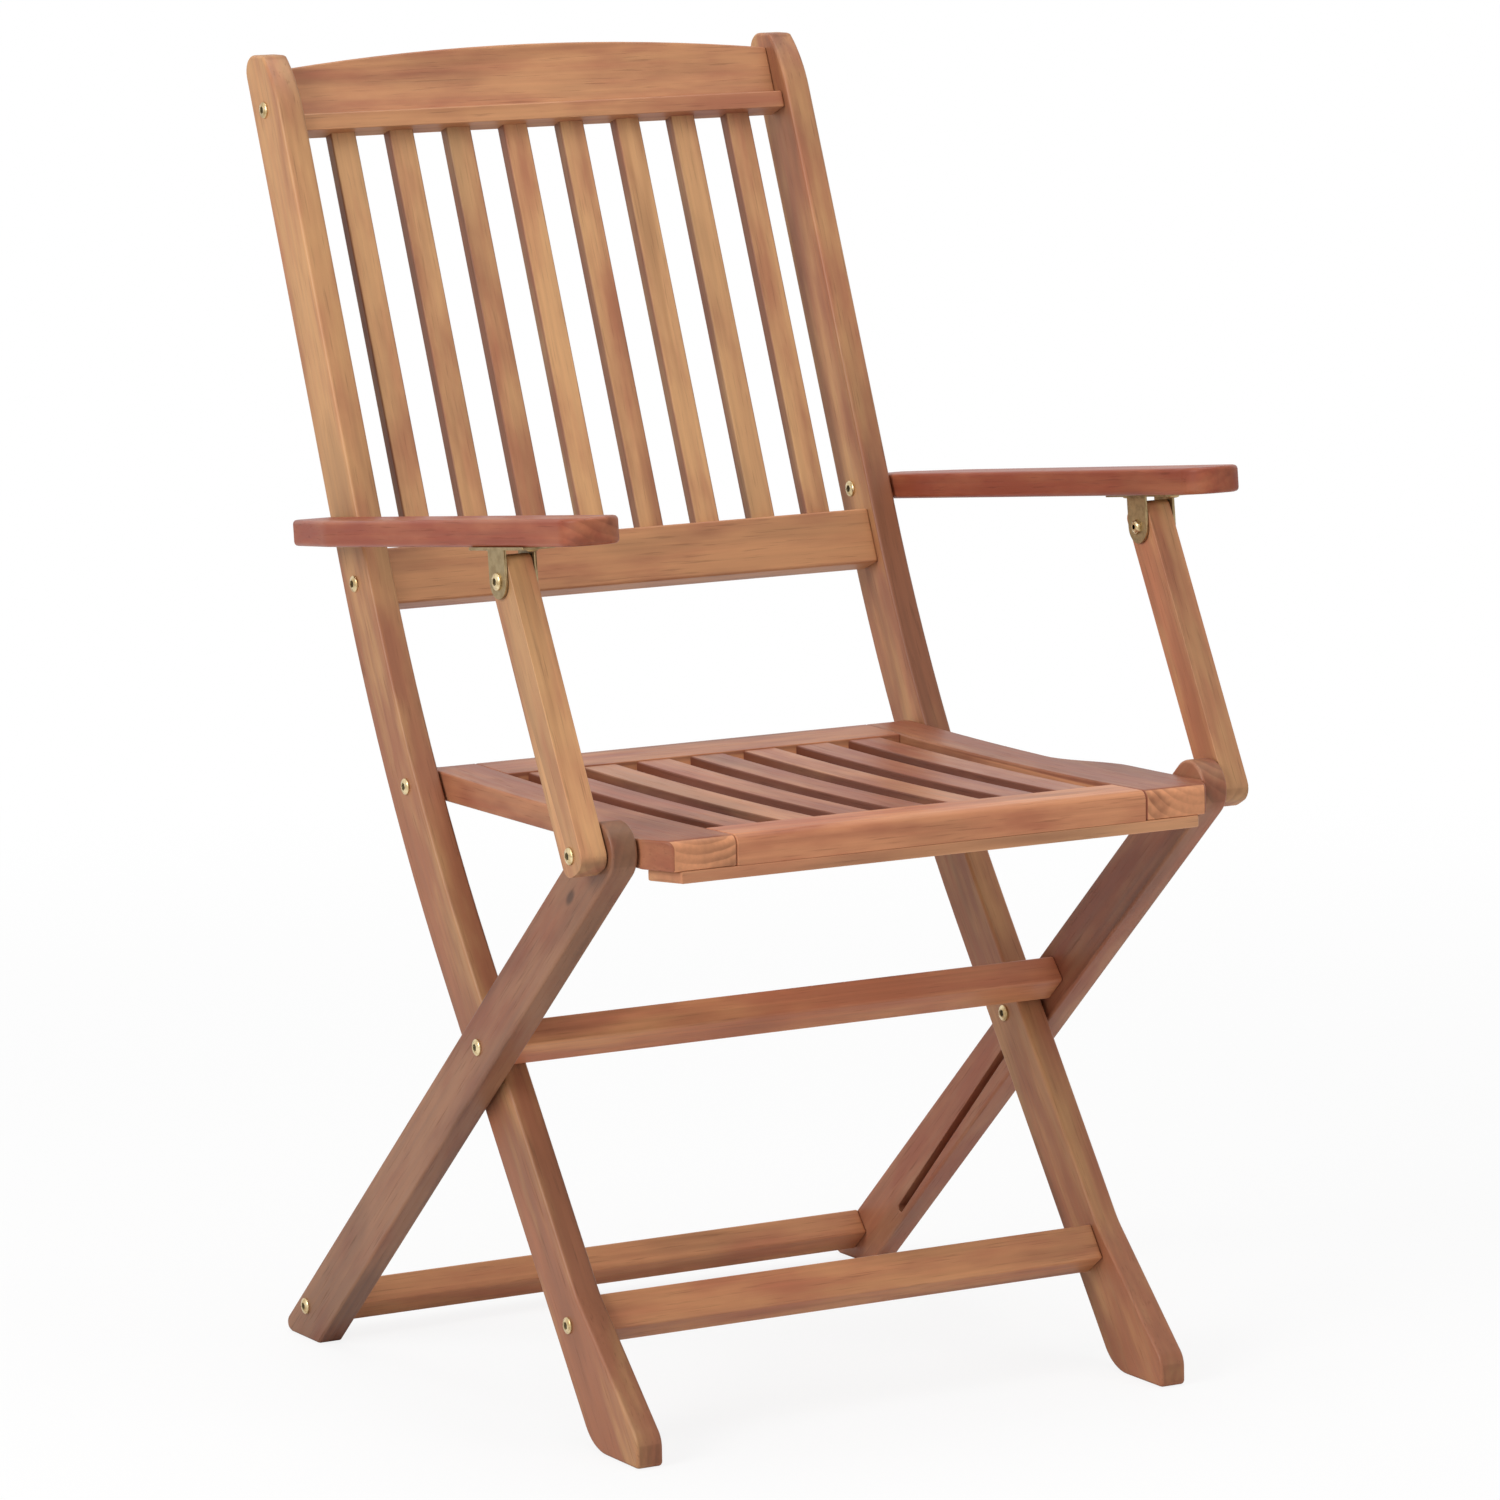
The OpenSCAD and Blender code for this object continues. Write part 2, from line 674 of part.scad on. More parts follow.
module seat_cross_board(y0, y1) {
    difference() {
        union() {
            intersection() {
                seat_profile(-board_in, board_in);
                translate([-board_in, y0, seat_bottom - 1]) cube([2 * board_in, y1 - y0, seat_t + 2]);
            }
            rail_tenons((y0 + y1) / 2, y1 - y0);
        }
        for (i = [1:seat_slats]) seat_slat_tenons(i, joint_fit);
        batten_holes();
    }
}

module seat_front_board() {
    color(red_wood) chair_frame() seat_cross_board(seat_front_y, front_board_y);
}

module seat_rear_rail() {
    color(red_wood) chair_frame() seat_cross_board(rear_rail_y, seat_rear_y);
}

module seat_slat(i) {
    color(i % 2 == 0 ? tan_wood : red_wood) chair_frame() {
        intersection() {
            seat_profile(slat_x(i) - seat_slat_w / 2, slat_x(i) + seat_slat_w / 2,
                bottom = seat_top - seat_slat_t);
            translate([-board_in, slat_y0, seat_bottom]) cube([2 * board_in, slat_y1 - slat_y0, seat_t]);
        }
        seat_slat_tenons(i, 0);
    }
}

// Batten under the seat's front edge, with the same cut corners
batten_screw_y = seat_front_y + batten_d / 2;
batten_screw_xs = [for (i = [-2:2]) i * (board_in + side_board_w / 2) / 2];

module batten_holes() {
    for (x = batten_screw_xs)
        translate([x, batten_screw_y, seat_bottom - batten_t - 1])
            cylinder(d = screw_d + 2 * running_fit, h = batten_t + screw_len - 1);
}

module seat_batten() {
    front_x = seat_front_x - corner_w - batten_inset;
    back_x = front_x + batten_d * corner_w / corner_d;
    back_y = seat_front_y + batten_d;
    color(honey) chair_frame() difference() {
        translate([0, 0, seat_bottom - batten_t]) linear_extrude(batten_t)
            polygon([[-front_x, seat_front_y], [front_x, seat_front_y], [back_x, back_y], [-back_x, back_y]]);
        batten_holes();
    }
}

// Screw with its head below the plane z = 0 and its shank above
module screw(len) {
    mirror([0, 0, 1]) bolt_head(screw_d * 2, screw_d * 0.5, screw_d * 0.6);
    cylinder(d = screw_d, h = len);
}

module batten_screws() {
    color(brass) chair_frame() for (x = batten_screw_xs)
        translate([x, batten_screw_y, seat_bottom - batten_t]) screw(batten_t + screw_len - 4);
}

// The leg pivot bolts pass through strut and leg into the seat
module leg_pivot_bolts() {
    color(brass) chair_frame()
        for (side = LEFT_RIGHT) bolt(side * strut_out, side * (leg_in - bolt_grip), leg_pivot);
}

// Rear legs
function leg_outline() = concat(
    arc(leg_pivot, half_leg, leg_angle + 90, leg_angle + 270, 24),
    corner(leg_pt(0, -half_leg), leg_at_floor(-half_leg), leg_at_floor(half_leg), edge_r, 4),
    corner(leg_at_floor(-half_leg), leg_at_floor(half_leg), leg_pt(0, half_leg), edge_r * 2, 4)
);

module guide_groove(side) {
    start = leg_pt(pin_reach, -guide_pin_offset);
    run = along(leg_angle - groove_skew);
    tip = start + run * groove_len;
    wall = groove_d / 2 * turned(run, 90);
    x0 = side * (leg_in - 1);
    x1 = side * (leg_in + groove_depth);
    across_bar(x0, x1, start, groove_d);
    across_bar(x0, x1, tip, groove_d);
    across(x0, x1, [start - wall, tip - wall, tip + wall, start + wall]);
}

module rear_leg(side) {
    x0 = side * leg_in;
    x1 = side * leg_out;
    difference() {
        across(x0, x1, leg_outline());
        for (at = [leg_pivot, upper_stretcher_at, lower_stretcher_at])
            drill(x0, x1, at);
        guide_groove(side);
    }
}

module left_rear_leg() {
    color(dark_wood) chair_frame() rear_leg(left);
}

module right_rear_leg() {
    color(dark_wood) chair_frame() rear_leg(right);
}

// Square bar between the rear legs, w along the leg
module leg_stretcher(at, w) {
    a = w / 2 * along(leg_angle);
    b = stretcher_t / 2 * rear_of(leg_angle);
    color(tan_wood) chair_frame() difference() {
        across(-leg_in, leg_in, [at - a - b, at - a + b, at + a + b, at + a - b]);
        for (side = LEFT_RIGHT) bore(side * (leg_in + 1), side * (leg_in - bolt_grip - 1), at);
    }
}

module upper_stretcher() {
    leg_stretcher(upper_stretcher_at, upper_stretcher_w);
}

module lower_stretcher() {
    leg_stretcher(lower_stretcher_at, lower_stretcher_w);
}

module leg_bolts(at) {
    color(brass) chair_frame()
        for (side = LEFT_RIGHT) bolt(side * leg_out, side * (leg_in - bolt_grip), at);
}

module upper_stretcher_bolts() {
    leg_bolts(upper_stretcher_at);
}

module lower_stretcher_bolts() {
    leg_bolts(lower_stretcher_at);
}

// Turns pieces drawn with -y to the front along the arm into place at the arm pivot
module arm_axes() {
    translate([0, arm_pivot.x, arm_pivot.y]) rotate([-arm_slope, 0, 0]) children();
}

function arm_outline() = rounded(
    [[arm_in, arm_tail], [arm_in, -arm_reach], [arm_out, -arm_reach],
    [arm_out, arm_tail - arm_taper_len], [arm_out - arm_taper_w, arm_tail]],
    [edge_r, arm_front_r, arm_front_r, arm_taper_len, edge_r * 2], 8
);

module arm_board(side) {
    color(red_wood) chair_frame() difference() {
        arm_axes() difference() {
            translate([0, 0, -arm_t / 2]) mirror([side < 0 ? 1 : 0, 0, 0])
                linear_extrude(arm_t) polygon(arm_outline());
            bracket_screw_holes(side);
        }
        bore(side * (arm_in - 1), side * (arm_in + bolt_grip + 1), arm_pivot);
    }
}

module left_arm_board() {
    arm_board(left);
}

module right_arm_board() {
    arm_board(right);
}

// Bracket of bent strip: a plate under the arm with an ear each side of the strut
bracket_mid = (ear_in + ear_out) / 2;

module at_plate_screws(side) {
    for (end = LEFT_RIGHT)
        translate([side * bracket_mid, -bracket_reach + end * plate_screw, -arm_t / 2 - strip_t])
            children();
}

module bracket_screw_holes(side) {
    at_plate_screws(side) translate([0, 0, -1]) cylinder(d = screw_d + 2 * running_fit, h = screw_len + 1);
}

module ear(x0, x1) {
    pivot = [-bracket_reach, -bracket_drop];
    difference() {
        union() {
            across_bar(x0, x1, pivot, ear_w);
            across(x0, x1, [pivot + [-ear_w / 2, 0], pivot + [ear_w / 2, 0],
                pivot + [ear_w / 2, plate_top], pivot + [-ear_w / 2, plate_top]]);
        }
        drill(x0, x1, pivot);
    }
}

module bracket(side) {
    color(brass) chair_frame() arm_axes() {
        ear(side * ear_in, side * (ear_in + strip_t));
        ear(side * (ear_out - strip_t), side * ear_out);
        difference() {
            translate([side * bracket_mid, -bracket_reach, -arm_t / 2 - strip_t / 2])
                cube([ear_out - ear_in, plate_len, strip_t], center = true);
            bracket_screw_holes(side);
        }
    }
}

module left_bracket() {
    bracket(left);
}

module right_bracket() {
    bracket(right);
}

module bracket_screws(side) {
    color(brass) chair_frame() arm_axes() at_plate_screws(side) screw(screw_len - 2);
}

module left_bracket_screws() {
    bracket_screws(left);
}

module right_bracket_screws() {
    bracket_screws(right);
}

// Bolt through a bracket's ears and the strut, with a nut on the inner side
module strut_bolt(side) {
    nut_h = 3;
    color(brass) chair_frame() {
        bolt(side * ear_out, side * (ear_in - nut_h), strut_pivot);
        translate([side * (ear_in - nut_h / 2), strut_pivot.x, strut_pivot.y]) rotate([0, 90, 0])
            cylinder(d = head_d - 1, h = nut_h, center = true, $fn = 6);
    }
}

module left_strut_bolt() {
    strut_bolt(left);
}

module right_strut_bolt() {
    strut_bolt(right);
}

function strut_pt(rise, rear) = leg_pivot + rise * along(strut_lean) + rear * rear_of(strut_lean);

module strut(side) {
    x0 = side * strut_in;
    x1 = side * strut_out;
    half = strut_w / 2;
    color(honey) chair_frame() difference() {
        across(x0, x1, rounded(
            [strut_pt(-strut_toe, -half), strut_pt(-strut_toe, half),
            strut_pt(strut_len + strut_head, half), strut_pt(strut_len + strut_head, -half)],
            [strut_toe_r, strut_toe_r, strut_head_r, strut_head_r]));
        for (at = [leg_pivot, strut_pivot]) drill(x0, x1, at);
    }
}

module left_strut() {
    strut(left);
}

module right_strut() {
    strut(right);
}

// Washers fill the gaps beside the moving boards
module arm_washers() {
    color(brass) chair_frame() for (side = LEFT_RIGHT) washer(side * stile_out, side * arm_in, arm_pivot);
}

module leg_washers() {
    color(brass) chair_frame() for (side = LEFT_RIGHT) washer(side * seat_front_x, side * leg_in, leg_pivot);
}

module seat_washers() {
    color(brass) chair_frame() for (side = LEFT_RIGHT) washer(side * seat_rear_x, side * stile_in, seat_pivot);
}

left_stile();
right_stile();
crest_rail();
lower_back_rail();
back_slat(1);  // back_slat_1
back_slat(2);  // back_slat_2
back_slat(3);  // back_slat_3
back_slat(4);  // back_slat_4
back_slat(5);  // back_slat_5
back_slat(6);  // back_slat_6
back_slat(7);  // back_slat_7
back_slat(8);  // back_slat_8
front_stretcher();
crest_bolts();
back_rail_bolts();
front_stretcher_bolts();
seat_pivot_bolts();
arm_pivot_bolts();
guide_pins();
left_seat_board();
right_seat_board();
seat_front_board();
seat_rear_rail();
seat_slat(1);  // seat_slat_1
seat_slat(2);  // seat_slat_2
seat_slat(3);  // seat_slat_3
seat_slat(4);  // seat_slat_4
seat_slat(5);  // seat_slat_5
seat_slat(6);  // seat_slat_6
seat_slat(7);  // seat_slat_7
seat_batten();
batten_screws();
leg_pivot_bolts();
left_rear_leg();
right_rear_leg();
upper_stretcher();
lower_stretcher();
upper_stretcher_bolts();
lower_stretcher_bolts();
left_arm_board();
right_arm_board();
left_bracket();
right_bracket();
left_bracket_screws();
right_bracket_screws();
left_strut_bolt();
right_strut_bolt();
left_strut();
right_strut();
arm_washers();
leg_washers();
seat_washers();
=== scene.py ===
"""Folding garden armchair in oiled hardwood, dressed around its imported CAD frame.

The boards are softened copies of the CAD nodes, so each stays where its node is.
The slats, bolts and screws are swept and turned by Geometry Nodes.
Lengths are in metres, +Z is up and the chair faces -Y.
"""

import json
import logging
import math
from dataclasses import dataclass, field
from enum import Enum
from functools import partial
from typing import Any, Callable, Iterable, Sequence

import bmesh
import bpy
import numpy as np
from mathutils import Matrix, Vector

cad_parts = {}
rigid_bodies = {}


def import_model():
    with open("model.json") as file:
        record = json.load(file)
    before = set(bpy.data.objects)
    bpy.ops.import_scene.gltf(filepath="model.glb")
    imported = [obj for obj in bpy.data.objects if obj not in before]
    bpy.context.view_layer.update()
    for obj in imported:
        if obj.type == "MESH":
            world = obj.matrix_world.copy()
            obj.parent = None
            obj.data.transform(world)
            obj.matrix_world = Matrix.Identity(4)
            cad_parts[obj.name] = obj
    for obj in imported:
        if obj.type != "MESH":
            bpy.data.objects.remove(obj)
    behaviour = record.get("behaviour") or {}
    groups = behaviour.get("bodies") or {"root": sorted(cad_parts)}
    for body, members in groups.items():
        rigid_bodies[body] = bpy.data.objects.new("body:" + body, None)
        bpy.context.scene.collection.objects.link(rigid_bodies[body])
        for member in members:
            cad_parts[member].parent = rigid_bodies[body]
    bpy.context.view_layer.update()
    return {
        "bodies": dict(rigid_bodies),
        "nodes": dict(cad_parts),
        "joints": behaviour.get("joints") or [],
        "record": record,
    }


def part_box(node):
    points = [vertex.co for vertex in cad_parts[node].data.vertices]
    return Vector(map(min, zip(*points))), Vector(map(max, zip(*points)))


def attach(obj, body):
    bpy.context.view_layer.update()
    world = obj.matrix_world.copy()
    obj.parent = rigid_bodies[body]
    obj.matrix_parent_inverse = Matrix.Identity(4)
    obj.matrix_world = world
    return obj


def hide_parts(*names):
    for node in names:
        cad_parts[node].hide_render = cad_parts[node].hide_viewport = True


log = logging.getLogger("garden_chair")

UPPER_LEAN = math.radians(68.7)
LOWER_LEAN = math.radians(54.3)
LEG_LEAN = math.radians(-41.183)
STRUT_LEAN = math.radians(62.24)
ARM_SLOPE = math.radians(5.6)
KNEE = (0.09077, 0.42)
BEND_R = 1.2
STILE_FRONT = -0.021
SHARP = math.radians(25)
BROAD = math.radians(40)
LEVEL = math.radians(0.2)
WELD = 1e-6
BORE_WIDEST = 0.034
GROOVE_LONGEST = 0.3
GROOVE_EDGES = 8
END_SLOPE = 0.45
FRONT_SLOPE = 0.9
SMALLEST_END = 2e-5
SIDE_DEPTH = 1e-4
ALIGNED = 0.999
RIGHT = Vector((1.0, 0.0, 0.0))
WHITE = (1.0, 1.0, 1.0, 1.0)


def along(angle: float) -> Vector:
    """Direction in the side view, at an angle above the rearward level."""
    return Vector((0.0, math.cos(angle), math.sin(angle)))


def rear_of(angle: float) -> Vector:
    """Direction square to along(angle), toward the rear and down."""
    return Vector((0.0, math.sin(angle), -math.cos(angle)))


def linear(*channels: int) -> tuple[float, ...]:
    """Linear colour with full alpha from red, green and blue of 0 to 255."""
    c = np.array(channels) / 255
    return (*np.where(c <= 0.04045, c / 12.92, ((c + 0.055) / 1.055) ** 2.4), 1.0)


def math_node(operation: str, swapped: bool = False) -> Callable[..., "Expr"]:
    """A method of Expr that adds a Math node, with the other value first if swapped.

    Args:
        operation: The Math node's operation.
        swapped: Whether the other value comes before the expression.

    Returns:
        The method.
    """
    def method(self: "Expr", *others: Any) -> "Expr":
        """Adds the node on the expression and the other values."""
        values = (*others, self) if swapped else (self, *others)
        return self.graph.add("ShaderNodeMath", dict(enumerate(values)), operation=operation)

    return method


class Expr:
    """A socket that takes part in Python arithmetic by adding Math nodes."""

    __add__, __radd__ = math_node("ADD"), math_node("ADD", True)
    __sub__, __rsub__ = math_node("SUBTRACT"), math_node("SUBTRACT", True)
    __mul__, __rmul__ = math_node("MULTIPLY"), math_node("MULTIPLY", True)
    __truediv__, __rtruediv__ = math_node("DIVIDE"), math_node("DIVIDE", True)
    fract, root, absolute = math_node("FRACT"), math_node("SQRT"), math_node("ABSOLUTE")
    sine, cosine, rounded = math_node("SINE"), math_node("COSINE"), math_node("ROUND")
    modulo = math_node("FLOORED_MODULO")

    def __init__(self, graph: "Graph", socket: bpy.types.NodeSocket | None) -> None:
        """Wraps a socket of a graph."""
        self.graph = graph
        self.socket = socket

    def held(self) -> "Expr":
        """The value kept between 0 and 1."""
        return self.graph.add("ShaderNodeClamp", {"Value": self})

    def step(self, low: float, high: float) -> "Expr":
        """Smooth step from 0 at low to 1 at high.

        Args:
            low: The value where the step starts.
            high: The value where it ends.

        Returns:
            The stepped value.
        """
        return self.graph.add(
            "ShaderNodeMapRange",
            {"Value": self, "From Min": low, "From Max": high},
            interpolation_type="SMOOTHSTEP",
        )


class Graph:
    """A node tree that is filled by expressions."""

    def __init__(self, tree: bpy.types.NodeTree) -> None:
        """Takes an empty node tree."""
        self.tree = tree

    def add(
        self,
        kind: str,
        inputs: dict[str | int, Any] | None = None,
        output: str | int = 0,
        **settings: Any,
    ) -> Expr:
        """Adds one node.

        Args:
            kind: The node's type.
            inputs: Values or links of its sockets, by name or place.
            output: The output to return, by name or place.
            settings: The node's own settings, set before its sockets. "items" is the
                number of a switch's items.

        Returns:
            The chosen output, or an empty expression where the node has none.
        """
        node = self.tree.nodes.new(kind)
        items = settings.pop("items", 0)
        for name, value in settings.items():
            setattr(node, name, value)
        for _ in range(items - 2):
            node.index_switch_items.new()
        for name, value in (inputs or {}).items():
            self.link(value, node.inputs[name])
        return Expr(self, node.outputs[output] if len(node.outputs) else None)

    def link(self, value: Any, socket: bpy.types.NodeSocket) -> None:
        """Links an expression to a socket, or writes a value into it.

        Args:
            value: An expression, or a value of the socket's own type.
            socket: The input that takes it.
        """
        if isinstance(value, Expr):
            self.tree.links.new(value.socket, socket)
        else:
            socket.default_value = value

    def vector(self, operation: str, *values: Any, output: int = 0) -> Expr:
        """Adds a Vector Math node on the given values."""
        inputs = dict(enumerate(values))
        return self.add("ShaderNodeVectorMath", inputs, output, operation=operation)

    def parts(self, vector: Expr) -> tuple[Expr, Expr, Expr]:
        """The three components of a vector."""
        x = self.add("ShaderNodeSeparateXYZ", {0: vector})
        return x, *(Expr(self, socket) for socket in x.socket.node.outputs[1:])

    def join(self, x: Any, y: Any, z: Any) -> Expr:
        """A vector from three components."""
        return self.add("ShaderNodeCombineXYZ", {0: x, 1: y, 2: z})

    def mix(self, factor: Any, a: Any, b: Any) -> Expr:
        """Mixes colour a with colour b by a factor."""
        return self.add("ShaderNodeMix", {0: factor, 6: a, 7: b}, 2, data_type="RGBA")

    def noise(self, vector: Expr, scale: float, detail: float = 2.0, rough: float = 0.5) -> Expr:
        """Noise between 0 and 1 around 0.5 at a point.

        Args:
            vector: The point.
            scale: Number of features to the metre.
            detail: Number of finer layers.
            rough: Strength of each finer layer.

        Returns:
            The noise.
        """
        return self.add(
            "ShaderNodeTexNoise",
            {"Vector": vector, "Scale": scale, "Detail": detail, "Roughness": rough},
            "Fac",
        )

    def drawn(self, place: Expr, lengthwise: float, across: float, detail: float = 2.0) -> Expr:
        """Noise with so many features to the metre along the grain and across it."""
        drawn = self.vector("MULTIPLY", place, (lengthwise, across, across))
        return self.noise(drawn, 1.0, detail)

    def attribute(self, name: str, output: str = "Fac") -> Expr:
        """A named attribute of the mesh in a material."""
        return self.add("ShaderNodeAttribute", output=output, attribute_name=name)

    def surface(self, colour: Expr, light: Expr, rough: Expr, bump: dict, more: dict) -> None:
        """Ends a material with a shaded colour, a roughness, a bump and more inputs.

        Args:
            colour: The colour before it is shaded.
            light: The factor that shades it.
            rough: The roughness, which is kept between 0 and 1.
            bump: Inputs of the Bump node.
            more: Further inputs of the surface.
        """
        inputs = {
            "Base Color": self.vector("MULTIPLY", colour, self.join(light, light, light)),
            "Roughness": rough.held(), "Normal": self.add("ShaderNodeBump", bump), **more,
        }
        surface = self.add("ShaderNodeBsdfPrincipled", inputs)
        self.add("ShaderNodeOutputMaterial", {"Surface": surface})


def emptied(block: bpy.types.Material | bpy.types.World) -> Graph:
    """The graph of a material or world, without its first nodes.

    Args:
        block: The material or world.

    Returns:
        Its empty graph.
    """
    block.use_nodes = True
    block.node_tree.nodes.clear()
    return Graph(block.node_tree)


class Tree(Graph):
    """A Geometry Nodes tree with named inputs for its sizes."""

    def __init__(self, name: str) -> None:
        """Starts a tree that takes and gives geometry.

        Args:
            name: The tree's name.
        """
        super().__init__(bpy.data.node_groups.new(name, "GeometryNodeTree"))
        sockets = self.tree.interface
        sockets.new_socket("Geometry", in_out="OUTPUT", socket_type="NodeSocketGeometry")
        sockets.new_socket("Geometry", in_out="INPUT", socket_type="NodeSocketGeometry")
        self.source = self.tree.nodes.new("NodeGroupInput")
        self.sink = self.tree.nodes.new("NodeGroupOutput")
        self.values: dict[str, Any] = {}

    @property
    def points(self) -> Expr:
        """The points that the tree is given."""
        return Expr(self, self.source.outputs[0])

    def size(self, name: str, value: float | int | bpy.types.Material) -> Expr:
        """Adds a named input with its value and returns it.

        Args:
            name: The input's name.
            value: Its value, a number or a material.

        Returns:
            The input as an expression.
        """
        kind = "NodeSocket" + {float: "Float", int: "Int"}.get(type(value), "Material")
        item = self.tree.interface.new_socket(name, in_out="INPUT", socket_type=kind)
        self.values[item.identifier] = value
        return Expr(self, self.source.outputs[name])

    def named(self, name: str, kind: str = "FLOAT") -> Expr:
        """A named attribute of the geometry."""
        return self.add("GeometryNodeInputNamedAttribute", {"Name": name}, data_type=kind)

    def store(
        self, geometry: Expr, name: str, value: Any, kind: str = "FLOAT", domain: str = "POINT"
    ) -> Expr:
        """Stores a named attribute on the geometry."""
        inputs = {"Geometry": geometry, "Name": name, "Value": value}
        return self.add("GeometryNodeStoreNamedAttribute", inputs, data_type=kind, domain=domain)

    def pick(self, index: Expr, values: Sequence[Any]) -> Expr:
        """Chooses one of several values by its place."""
        inputs = dict(enumerate((index, *values)))
        return self.add("GeometryNodeIndexSwitch", inputs, data_type="FLOAT", items=len(values))

    def chance(self, low: Any, high: Any, seed: Expr) -> Expr:
        """A random number for each point or instance."""
        inputs = {2: low, 3: high, "ID": self.add("GeometryNodeInputIndex"), "Seed": seed}
        return self.add("FunctionNodeRandomValue", inputs, 1, data_type="FLOAT")

    def put(self, part: Expr, turn: Expr, scale: Any = (1.0, 1.0, 1.0)) -> Expr:
        """Puts a part on each point that the tree is given.

        Args:
            part: The geometry of the part.
            turn: Its rotation at each point.
            scale: Its scale at each point.

        Returns:
            The instances.
        """
        points = self.add("GeometryNodeMeshToPoints", {"Mesh": self.points})
        return self.add(
            "GeometryNodeInstanceOnPoints",
            {"Points": points, "Instance": part, "Rotation": turn, "Scale": scale},
        )

    def together(self, *geometries: Expr) -> Expr:
        """Joins several geometries into one.

        Args:
            geometries: The geometries.

        Returns:
            All of them as one.
        """
        joined = self.add("GeometryNodeJoinGeometry")
        for geometry in geometries:
            self.link(geometry, joined.socket.node.inputs[0])
        return joined

    def turned(
        self, rings: Sequence[tuple[Any, Any]], around: int, sixes: Sequence[int] = ()
    ) -> Expr:
        """Turns a profile round the z axis.

        Args:
            rings: Radius and height of each ring, as numbers or expressions.
            around: Number of steps round the axis.
            sixes: The rings with six sides, given by the width across their flats.

        Returns:
            The turned mesh.
        """
        grid = self.add(
            "GeometryNodeMeshGrid",
            {"Size X": 1.0, "Size Y": 1.0, "Vertices X": len(rings), "Vertices Y": around + 1},
        )
        x, y, _ = self.parts(self.add("GeometryNodeInputPosition"))
        angle = (y + 0.5) * math.tau
        ring = ((x + 0.5) * (len(rings) - 1)).rounded()
        flat = (angle.modulo(math.pi / 3) - math.pi / 6).cosine()
        radii = [r * 0.5 / flat if i in sixes else r for i, (r, _) in enumerate(rings)]
        radius = self.pick(ring, radii)
        height = self.pick(ring, [h for _, h in rings])
        place = self.join(radius * angle.cosine(), radius * angle.sine(), height)
        numbered = self.store(grid, "ring", ring)
        moved = self.add("GeometryNodeSetPosition", {"Geometry": numbered, "Position": place})
        return self.add("GeometryNodeMergeByDistance", {"Geometry": moved, "Distance": WELD})

    def finish(self, geometry: Expr, material: Expr) -> None:
        """Ends the tree with real meshes and their material.

        Args:
            geometry: The geometry that the tree has made.
            material: Its material.
        """
        real = self.add("GeometryNodeRealizeInstances", {0: geometry})
        smooth = self.add("GeometryNodeSetShadeSmooth", {"Geometry": real})
        dressed = self.add("GeometryNodeSetMaterial", {"Geometry": smooth, "Material": material})
        self.link(dressed, self.sink.inputs[0])

    def grow(self, name: str, points: bpy.types.Mesh) -> bpy.types.Object:
        """Runs the tree on points and returns the result as a plain mesh object.

        Args:
            name: The new piece's name.
            points: A mesh of points with the attributes that the tree reads.

        Returns:
            The piece.
        """
        carrier = bpy.data.objects.new(name + "_points", points)
        bpy.context.scene.collection.objects.link(carrier)
        modifier = carrier.modifiers.new("grow", "NODES")
        modifier.node_group = self.tree
        for identifier, value in self.values.items():
            modifier[identifier] = value
        mesh = applied(carrier)
        bpy.data.objects.remove(carrier)
        return shown(name, mesh)


def applied(piece: bpy.types.Object) -> bpy.types.Mesh:
    """The mesh of a piece with its modifiers applied and taken off.

    Args:
        piece: The piece, which keeps its own mesh.

    Returns:
        The new mesh.
    """
    bpy.context.view_layer.update()
    graph = bpy.context.evaluated_depsgraph_get()
    mesh = bpy.data.meshes.new_from_object(
        piece.evaluated_get(graph), preserve_all_data_layers=True, depsgraph=graph
    )
    piece.modifiers.clear()
    return mesh


def shown(name: str, mesh: bpy.types.Mesh) -> bpy.types.Object:
    """An object at the origin that shows a mesh.

    Args:
        name: The name of the object and its mesh.
        mesh: The mesh.

    Returns:
        The object.
    """
    mesh.name = name
    piece = bpy.data.objects.new(name, mesh)
    bpy.context.scene.collection.objects.link(piece)
    return piece


def soften(piece: bpy.types.Object) -> None:
    """Gives a piece normals that keep its broad faces flat.

    Args:
        piece: The piece, whose mesh is replaced.
    """
    piece.data.set_sharp_from_angle(angle=BROAD)
    weighted = piece.modifiers.new("normals", "WEIGHTED_NORMAL")
    weighted.keep_sharp = True
    piece.data = applied(piece)


def write(mesh: bpy.types.Mesh, name: str, values: np.ndarray) -> None:
    """Writes a float or vector for each vertex of a mesh.

    Args:
        mesh: The mesh.
        name: The attribute's name.
        values: A number, or a row of three, for each vertex.
    """
    kind, key = ("FLOAT", "value") if values.ndim == 1 else ("FLOAT_VECTOR", "vector")
    old = mesh.attributes.get(name)
    if old:
        mesh.attributes.remove(old)
    layer = mesh.attributes.new(name, kind, "POINT")
    layer.data.foreach_set(key, np.ascontiguousarray(values, np.float32).ravel())


def cloud(name: str, points: Iterable[Any], **values: Any) -> bpy.types.Mesh:
    """A mesh of loose points with named values for each.

    Args:
        name: The mesh's name.
        points: The places of the points.
        values: For each attribute, its values in the order of the points.

    Returns:
        The mesh.
    """
    mesh = bpy.data.meshes.new(name)
    mesh.from_pydata([tuple(p) for p in points], [], [])
    for key, value in values.items():
        write(mesh, key, np.array(value))
    return mesh


def places(mesh: bpy.types.Mesh) -> np.ndarray:
    """The vertices of a mesh, one row each.

    Args:
        mesh: The mesh.

    Returns:
        The places in metres.
    """
    found = np.zeros(len(mesh.vertices) * 3)
    mesh.vertices.foreach_get("co", found)
    return found.reshape(-1, 3)


